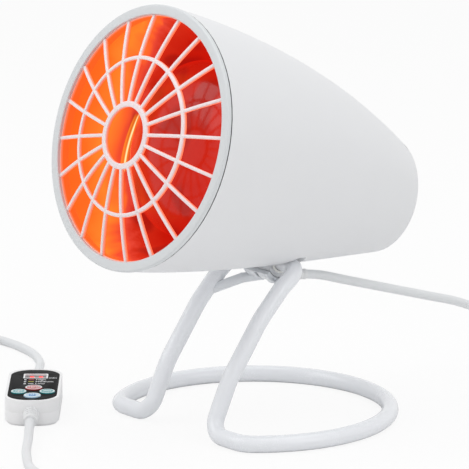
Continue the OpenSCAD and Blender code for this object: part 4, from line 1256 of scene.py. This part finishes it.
    def grille(self) -> bpy.types.Object:
        """Domed grille: spokes with rounded edges, the hub ring, a second ring and the rim."""
        proud, ring_ease, steps = 0.05, 1.1, 160
        solid = Solid()
        self.spoke(solid)
        for middle, width in ((self.hub_r, self.hub_w), (self.ring_r, self.ring_w)):
            low, high = middle - width / 2, middle + width / 2
            corners = [
                (low, self.dome(low) - proud), (high, self.dome(high) - proud),
                (high, self.dome(high) + self.spoke_depth), (low, self.dome(low) + self.spoke_depth),
            ]
            solid.turn(mm(rounded(corners, ring_ease)), steps=steps)
        outer, inner = self.grille_rim_r, self.grille_rim_r - 2.3
        front, back = 2.5, self.spigot_end - 0.1
        solid.turn(mm([(inner, front), (outer, front), (outer, back), (inner, back)]), steps=steps)
        made = solid.placed(LAYOUT.head()).piece("grille_bars", Finishes.BARS, 40)
        return seat(made, self.body, "grille", "grille")

    def spoke(self, solid: Solid) -> None:
        """Draws one spoke along the dome, and repeats it all round."""
        half, depth, edge = self.spoke_w / 2, self.spoke_depth, 0.9
        outline = rounded([(-half, 0), (half, 0), (half, depth), (-half, depth)], edge, 3)
        start = math.asin(self.hub_r / self.dome_r)
        end = math.asin((self.bezel_in - 0.1) / self.dome_r)
        bm = solid.bm
        turn = Matrix.Rotation(start, 4, "X")
        lift = Vector((0, self.dome_y * MM, 0))
        verts = [
            bm.verts.new(turn @ Vector((x * MM, (y - self.dome_r) * MM, 0)) + lift) for x, y in outline
        ]
        face = bm.faces.new(verts)
        bmesh.ops.spin(
            bm, geom=[face], cent=lift, axis=(1, 0, 0), angle=end - start, steps=10, use_merge=False
        )
        one = bm.verts[:] + bm.edges[:] + bm.faces[:]
        for k in range(1, self.spokes):
            copy = bmesh.ops.duplicate(bm, geom=one)["geom"]
            moved = [v for v in copy if isinstance(v, bmesh.types.BMVert)]
            bmesh.ops.rotate(
                bm, cent=(0, 0, 0), matrix=Matrix.Rotation(2 * math.pi * k / self.spokes, 3, "Y"), verts=moved
            )
        half_step = Matrix.Rotation(math.pi / self.spokes, 4, "Y")
        solid.placed(half_step).outward()

    def reflector(self) -> bpy.types.Object:
        """Bowl of the reflector with its flange."""
        mouth, neck, start, length, sheet, steps = 84.5, 27.0, 11.0, 117.0, 0.8, 36
        flange_r, back = self.spigot_r - 0.6, 0.1

        def bowl(y: float) -> float:
            """Radius of the bowl's inside at a depth."""
            return math.sqrt(neck**2 + (mouth**2 - neck**2) * (start + length - y) / length)

        ys = [start + length * k / steps for k in range(steps + 1)]
        profile = [
            (mouth, self.spigot_end), (flange_r, self.spigot_end), (flange_r, start),
            (mouth + sheet, start),
            *[(bowl(y) + sheet, y + back) for y in ys[1:]],
            *[(bowl(y), y) for y in reversed(ys)],
        ]
        made = self.turned("reflector_bowl", Finishes.REFLECTOR, profile)
        return seat(made, self.body, "reflector", "reflector")

    def bulb(self) -> bpy.types.Object:
        """Envelope of the bulb: domed face, tapering back and neck."""
        widest, widest_y, face, back, neck, throat = 62.5, 52.0, 24.0, 78.0, 20.0, 12.3
        wall, end, shoulder, collar, steps = 1.0, 148.0, 3.0, 6.0, 30

        def outline(inset: float) -> Profile:
            """Outline of the glass, drawn in by an inset."""
            dome = []
            for k in range(steps + 1):
                angle = math.pi / 2 * k / steps
                out, depth = (widest - inset) * math.sin(angle), (face - inset) * math.cos(angle)
                dome.append((out, widest_y - depth))
            taper = []
            for k in range(1, steps + 1):
                share = (1 + math.cos(math.pi * k / steps)) / 2
                taper.append((neck - inset + (widest - neck) * share, widest_y + back * k / steps))
            throat_r = throat - inset
            return [
                *dome, *taper,
                (neck - inset, end - shoulder - inset), (throat_r, end - inset), (throat_r, end + collar),
            ]

        profile = outline(0) + list(reversed(outline(wall)))
        made = Solid().turn(mm(profile), closed=False, steps=160)
        bmesh.ops.holes_fill(made.bm, edges=made.bm.edges, sides=0)
        piece = made.outward().placed(LAYOUT.head()).piece("bulb_envelope", Finishes.BULB, 50)
        return seat(piece, self.body, "bulb_glass", "bulb_glass")

    def filament(self) -> bpy.types.Object:
        """Coiled wire along its arc."""
        radius, middle_y, coil_r, wire, turns, per_turn = 22.0, 84.0, 0.65, 0.24, 60, 12
        start, sweep = 155, 230
        points = []
        for k in range(turns * per_turn + 1):
            share = k / (turns * per_turn)
            along = math.radians(start + sweep * share)
            across = 2 * math.pi * turns * share
            out = radius + coil_r * math.cos(across)
            depth = middle_y + coil_r * math.sin(across)
            points.append((out * math.cos(along), depth, -out * math.sin(along)))
        turn = LAYOUT.head()
        placed = [turn @ Vector(p) for p in mm(points)]
        made = as_mesh(line_piece("filament", placed, wire * MM, Finishes.FILAMENT, 1))
        return seat(made, self.body, "filament", "bulb_filament")


# ------------------------------------------------------------ the stand


@dataclass
class Stand:
    """Bent tube, brace and strain relief, in the lamp's frame."""

    tube_r: float = 6.0
    middle_y: float = 1.877
    pivot: tuple[float, float] = (16.5, 113.0)
    leg_x: float = 34.7
    pin_gap: float = 6.5
    foot_y: float = -64.8
    loop_r: float = 97.2
    loop_back: float = 3.0
    loop_open: float = 38.0
    bows: tuple[tuple[float, float], ...] = ((0.857, 6.2), (0.646, 9.7), (0.288, 8.6))
    radii: tuple[float, ...] = (12.0, 30.0, 60.0, 60.0, 13.0, 18.0)

    def build(self) -> list[bpy.types.Object]:
        """Makes every piece of the stand."""
        return [self.tube(), self.relief(), *(part.build() for part in self.dressed())]

    def dressed(self) -> list[Dressed]:
        """The stand's pieces that keep their CAD shape."""
        return [
            Dressed("cross_brace", Finishes.BRACE, "cross_brace", 0.0007),
            Dressed("tube_end_plugs", Finishes.BUSH, "end_plugs", 0.0002),
            Dressed("inner_lead", Finishes.WIRE, "wires", 0),
        ]

    def corners(self) -> list[Vector]:
        """Corners of the right leg, from the pivot to the start of the loop."""
        foot = Vector((self.foot_y, self.tube_r))
        run = Vector(self.pivot) - foot
        out = Vector((-run.y, run.x)).normalized()
        knees = [foot + run * share + out * bow for share, bow in self.bows]
        turn = math.radians(self.loop_open)
        end = Vector((self.loop_r * math.cos(turn), self.loop_back - self.loop_r * math.sin(turn)))
        bar_x = end.x - math.tan(turn) * (end.y - self.foot_y)
        return [
            Vector((self.pin_gap, *self.pivot)),
            Vector((self.leg_x, *self.pivot)),
            *(Vector((self.leg_x, *knee)) for knee in knees),
            Vector((self.leg_x, *foot)),
            Vector((bar_x, *foot)),
            Vector((end.x, end.y, self.tube_r)),
        ]

    def fillet(self, before: Vector, here: Vector, after: Vector, radius: float) -> list[Vector]:
        """Arc that rounds one corner.

        Args:
            before: The corner before.
            here: The corner that is rounded.
            after: The corner after.
            radius: The bend's radius, in millimetres.

        Returns:
            The arc's points.
        """
        back, on = (before - here).normalized(), (after - here).normalized()
        turn = math.pi - back.angle(on)
        cut = radius * math.tan(turn / 2)
        centre = here + (back + on).normalized() * radius / math.cos(turn / 2)
        start = here + back * cut - centre
        axis = start.cross(here + on * cut - centre).normalized()
        steps = max(4, math.ceil(math.degrees(turn) / 5))
        return [centre + Matrix.Rotation(turn * k / steps, 3, axis) @ start for k in range(steps + 1)]

    def tube(self) -> bpy.types.Object:
        """The one bent tube, swept along its legs and its loop."""
        corners = self.corners()
        leg = [corners[0]]
        for i, radius in enumerate(self.radii):
            leg.extend(self.fillet(corners[i], corners[i + 1], corners[i + 2], radius))
        steps = 100
        first, last = -self.loop_open, 180 + self.loop_open
        loop = [
            Vector((x, y + self.loop_back, self.tube_r))
            for x, y in arc((0, 0), self.loop_r, first, last, steps)
        ]
        other = [Vector((-p.x, p.y, p.z)) for p in reversed(leg)]
        points = [p - Vector((0, self.middle_y, 0)) for p in [*leg, *loop, *other]]
        made = as_mesh(line_piece("bent_tube", mm(points), self.tube_r * MM, Finishes.TUBE, 10))
        return seat(made, "root", "stand_tube", "stand_tube")

    def relief(self) -> bpy.types.Object:
        """Tapered strain relief with soft rings, behind the brace."""
        start, tip = LAYOUT.relief_from, LAYOUT.relief_tip
        length = (tip - start).length / MM
        root_r, root_depth, wide_r, taper, tip_r = 3.4, 4.9, 4.6, 0.9, 3.6
        rings, margin, groove, ease = 5, 1.6, 0.45, 0.1
        profile: Profile = [(0, -root_depth), (root_r, -root_depth), (root_r, 0), (wide_r, 0)]
        for k in range(rings):
            base = margin + k * (length - 2 * margin) / rings
            r = wide_r - taper * base / length
            profile += [(r, base), (r - groove, base + 0.5), (r - groove, base + 1.5), (r - ease, base + 2.0)]
        profile += [(tip_r + 0.25, length - 0.4), (tip_r, length), (0, length)]
        turn = Vector((0, 1, 0)).rotation_difference(tip - start).to_matrix().to_4x4()
        solid = Solid().turn(mm(profile), closed=False, steps=48).placed(Matrix.Translation(start) @ turn)
        return seat(solid.piece("stand_relief", Finishes.RELIEF, 50), "root", "relief", "strain_relief")


# ------------------------------------------------------------ the controller


@dataclass(frozen=True)
class Key:
    """One of the controller's keys: its body, slot, middle, rim's radius and the bars of its mark."""

    body: str
    slot: str
    x: float
    y: float
    radius: float
    bars: tuple[tuple[float, float], ...] = ()


@dataclass
class Controller:
    """Inline controller: its shells, face, display, keys and reliefs, on its own axes."""

    print_z: float = 18.82
    key_top: float = 19.5
    led_x: float = -6.7
    led_r: float = 0.95
    board_top: float = 9.0
    dash_x: float = -2.4
    dash_size: tuple[float, float, float] = (4.0, 1.0, 0.08)
    led_ys: tuple[float, ...] = (14.6, 9.1, 3.4)
    word_x: float = 0.7
    word_size: float = 3.2
    letter_scale: float = 1.25
    letter_height: float = 0.03
    letter_weight: float = 0.06
    letter_lift: float = 0.02
    keys: tuple[Key, ...] = (
        Key("button_temp", "button_red", 0.3, -8.6, 6.1),
        Key("button_plus", "button_teal", -9.9, -19.6, 5.5, ((5.2, 1.3), (1.3, 5.2))),
        Key("button_minus", "button_teal", 10.4, -19.3, 5.5, ((5.6, 1.3),)),
        Key("button_power", "button_blue", 0.2, -30.4, 6.1),
    )

    def build(self) -> list[bpy.types.Object]:
        """Makes every piece of the controller."""
        return [
            *(part.build() for part in self.dressed()),
            *self.leds(),
            *self.words(),
            *self.key_marks(),
        ]

    def dressed(self) -> list[Dressed]:
        """The controller's pieces that keep their CAD shape."""
        return [
            Dressed("controller_base", Finishes.CASE, "controller_shell", 0.0005),
            Dressed("controller_top", Finishes.CASE, "controller_shell", 0.0006),
            Dressed("face_plate", Finishes.FACE, "face_plate", 0.00012),
            Dressed("display_frame", Finishes.FRAME, "display_frame", 0.00015),
            Dressed("display_module", Finishes.WINDOW, "display_module", 0.0001),
            Dressed("display_digits", Finishes.DIGIT, "digits", 0.00005),
            Dressed("circuit_board", Finishes.BOARD, "circuit_board", 0.0001),
            Dressed("tact_switches", Finishes.SWITCH, "switches", 0.0001),
            Dressed("controller_screws", Finishes.SCREW, "screws", 0.0002),
            Dressed("controller_reliefs", Finishes.RELIEF, "relief", 0.0003),
            Dressed("button_temp", Finishes.KEY_RED, "button_red", 0.0003, "button_temp"),
            Dressed("button_plus", Finishes.KEY_TEAL, "button_teal", 0.0003, "button_plus"),
            Dressed("button_minus", Finishes.KEY_TEAL, "button_teal", 0.0003, "button_minus"),
            Dressed("button_power", Finishes.KEY_BLUE, "button_blue", 0.0003, "button_power"),
        ]

    def leds(self) -> list[bpy.types.Object]:
        """The three round indicator lamps, and the red, yellow and white dashes printed beside them."""
        made = []
        finishes = (Finishes.DASH_RED, Finishes.DASH_YELLOW, Finishes.PRINT)
        tall = self.print_z + 0.1 - self.board_top
        ease, sharp, r = 0.25 * MM, 60, self.led_r * MM
        for name, finish, y in zip(("high", "medium", "low"), finishes, self.led_ys):
            dot = Solid()
            bmesh.ops.create_cone(dot.bm, cap_ends=True, segments=32, radius1=r, radius2=r, depth=tall * MM)
            middle = mm([(self.led_x, y, self.board_top + tall / 2)])[0]
            dot.soften(ease, sharp).placed(Matrix.Translation(middle)).placed(LAYOUT.controller())
            lamp = dot.piece(f"led_{name}", Finishes.LED)
            made.append(seat(lamp, "root", "leds"))
            dash = self.plate(f"dash_{name}", self.dash_size, (self.dash_x, y, self.print_z + 0.03), finish)
            made.append(seat(dash, "root", "leds"))
        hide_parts("indicator_leds")
        return made

    def plate(
        self, name: str, size: tuple[float, float, float], at: tuple[float, float, float], finish: Finishes
    ) -> bpy.types.Object:
        """Small printed bar with eased corners, from its size and middle in millimetres."""
        solid = Solid()
        bmesh.ops.create_cube(solid.bm, size=1.0)
        solid.placed(Matrix.Diagonal((*(edge * MM for edge in size), 1)))
        upright = [e for e in solid.bm.edges if abs((e.verts[0].co - e.verts[1].co).z) > 1e-6]
        bmesh.ops.bevel(
            solid.bm, geom=upright, offset=0.2 * MM, affect="EDGES", segments=3, profile=0.5, material=-1
        )
        return solid.placed(LAYOUT.on_controller(at)).piece(name, finish)

    def words(self) -> list[bpy.types.Object]:
        """Plain words beside the display and the indicator lamps."""
        spots = [(text, self.word_x, y) for text, y in zip(("High", "Medium", "Low"), self.led_ys)]
        spots.append(("min", 9.9, 19.6))
        made = [
            self.word(f"word_{text.lower()}", text, x, y, self.word_size, self.print_z, Finishes.PRINT)
            for text, x, y in spots
        ]
        return [seat(piece, "root", "display_frame") for piece in made]

    def word(
        self,
        name: str,
        text: str,
        x: float,
        y: float,
        size: float,
        z: float,
        finish: Finishes,
        align: str = "LEFT",
    ) -> bpy.types.Object:
        """Raised lettering on the face.

        Args:
            name: The piece's name.
            text: The letters.
            x: Where the word starts, or its middle, in millimetres.
            y: The middle of its height, in millimetres.
            size: The letters' size, in millimetres.
            z: The height of the face under it, in millimetres.
            finish: The print's finish.
            align: How the word stands to x.

        Returns:
            The word's mesh object.
        """
        data = bpy.data.curves.new(name, "FONT")
        data.body = text
        data.size = size * MM * self.letter_scale
        data.align_x = align
        data.align_y = "CENTER"
        data.extrude = self.letter_height * MM
        data.offset = self.letter_weight * MM
        data.materials.append(Palette.of(finish))
        flat = linked(name, data)
        bpy.context.view_layer.update()
        made = as_mesh(flat)
        for polygon in made.data.polygons:
            polygon.use_smooth = False
        made.data.transform(LAYOUT.on_controller((x, y, z + self.letter_lift)))
        return made

    def key_marks(self) -> list[bpy.types.Object]:
        """Light rims and marks on the four keys, which move with them."""
        made = []
        up = Matrix.Rotation(math.pi / 2, 4, "X")
        low, high, ease = -0.15, 0.12, 0.1
        for key in self.keys:
            inner, outer = key.radius - 1.0, key.radius - 0.15
            corners = [(inner, low), (outer, low), (outer, high), (inner, high)]
            rim = Solid().turn(mm(rounded(corners, ease, 2)), steps=64)
            rim.placed(LAYOUT.on_controller((key.x, key.y, self.key_top)) @ up)
            made.append(seat(rim.piece(f"{key.body}_rim", Finishes.RIM), key.body, key.slot))
        thick, lift = 0.14, 0.03
        for key in (k for k in self.keys if k.bars):
            solid = Solid()
            for wide, tall in key.bars:
                cube = bmesh.ops.create_cube(solid.bm, size=1.0)["verts"]
                bmesh.ops.scale(solid.bm, vec=(wide * MM, tall * MM, thick * MM), verts=cube)
            solid.placed(LAYOUT.on_controller((key.x, key.y, self.key_top + lift)))
            made.append(seat(solid.piece(f"{key.body}_mark", Finishes.PRINT), key.body, key.slot))
        temp = self.word("button_temp_word", "TEMP", 0.3, -8.6, 2.9, self.key_top, Finishes.PRINT, "CENTER")
        made.append(seat(temp, "button_temp", "button_red"))
        made.append(self.power_mark())
        return made

    def power_mark(self) -> bpy.types.Object:
        """Broken ring with a stroke, on the power key."""
        radius, wire, z = 2.3, 0.32, 0.05
        start, sweep, steps = 125, 290, 32
        stroke_ys = (0.9, 2.9)
        ring = [(x, y, z) for x, y in arc((0, 0), radius, start, start + sweep, steps)]
        turn = LAYOUT.on_controller((0.2, -30.7, self.key_top))
        placed = [turn @ Vector(p) for p in mm(ring)]
        curve = line_piece("button_power_mark", placed, wire * MM, Finishes.PRINT_BLUE, 2)
        stroke = curve.data.splines.new("POLY")
        stroke.points.add(1)
        for target, point in zip(stroke.points, mm((0, y, z) for y in stroke_ys)):
            target.co = (*(turn @ Vector(point)), 1)
        made = as_mesh(curve)
        return seat(made, "button_power", "button_blue")


# ------------------------------------------------------------ the plug


@dataclass
class Plug:
    """Two-pin plug at the cord's end."""

    def build(self) -> list[bpy.types.Object]:
        """Makes the plug's pieces."""
        return [
            Dressed("plug_body", Finishes.PLUG, "plug_body", 0.0016).build(),
            Dressed("plug_pins", Finishes.PIN, "plug_pins", 0.0003).build(),
        ]


def report(part: str, pieces: Iterable[bpy.types.Object]) -> None:
    """Logs what a sub-assembly has made."""
    for piece in pieces:
        log.info("%s: %s", part, piece.name)


def main() -> None:
    """Builds the studio, the cords and the lamp, in order."""
    logging.basicConfig(level=logging.INFO, format="%(name)s %(message)s")
    Studio().build()
    makers: list[tuple[str, Callable[[], list[bpy.types.Object]]]] = [
        ("cords", Cords().build),
        ("head", Head().build),
        ("stand", Stand().build),
        ("controller", Controller().build),
        ("plug", Plug().build),
    ]
    for name, build in makers:
        report(name, build())
    bpy.context.view_layer.update()


if __name__ == "__main__":
    main()
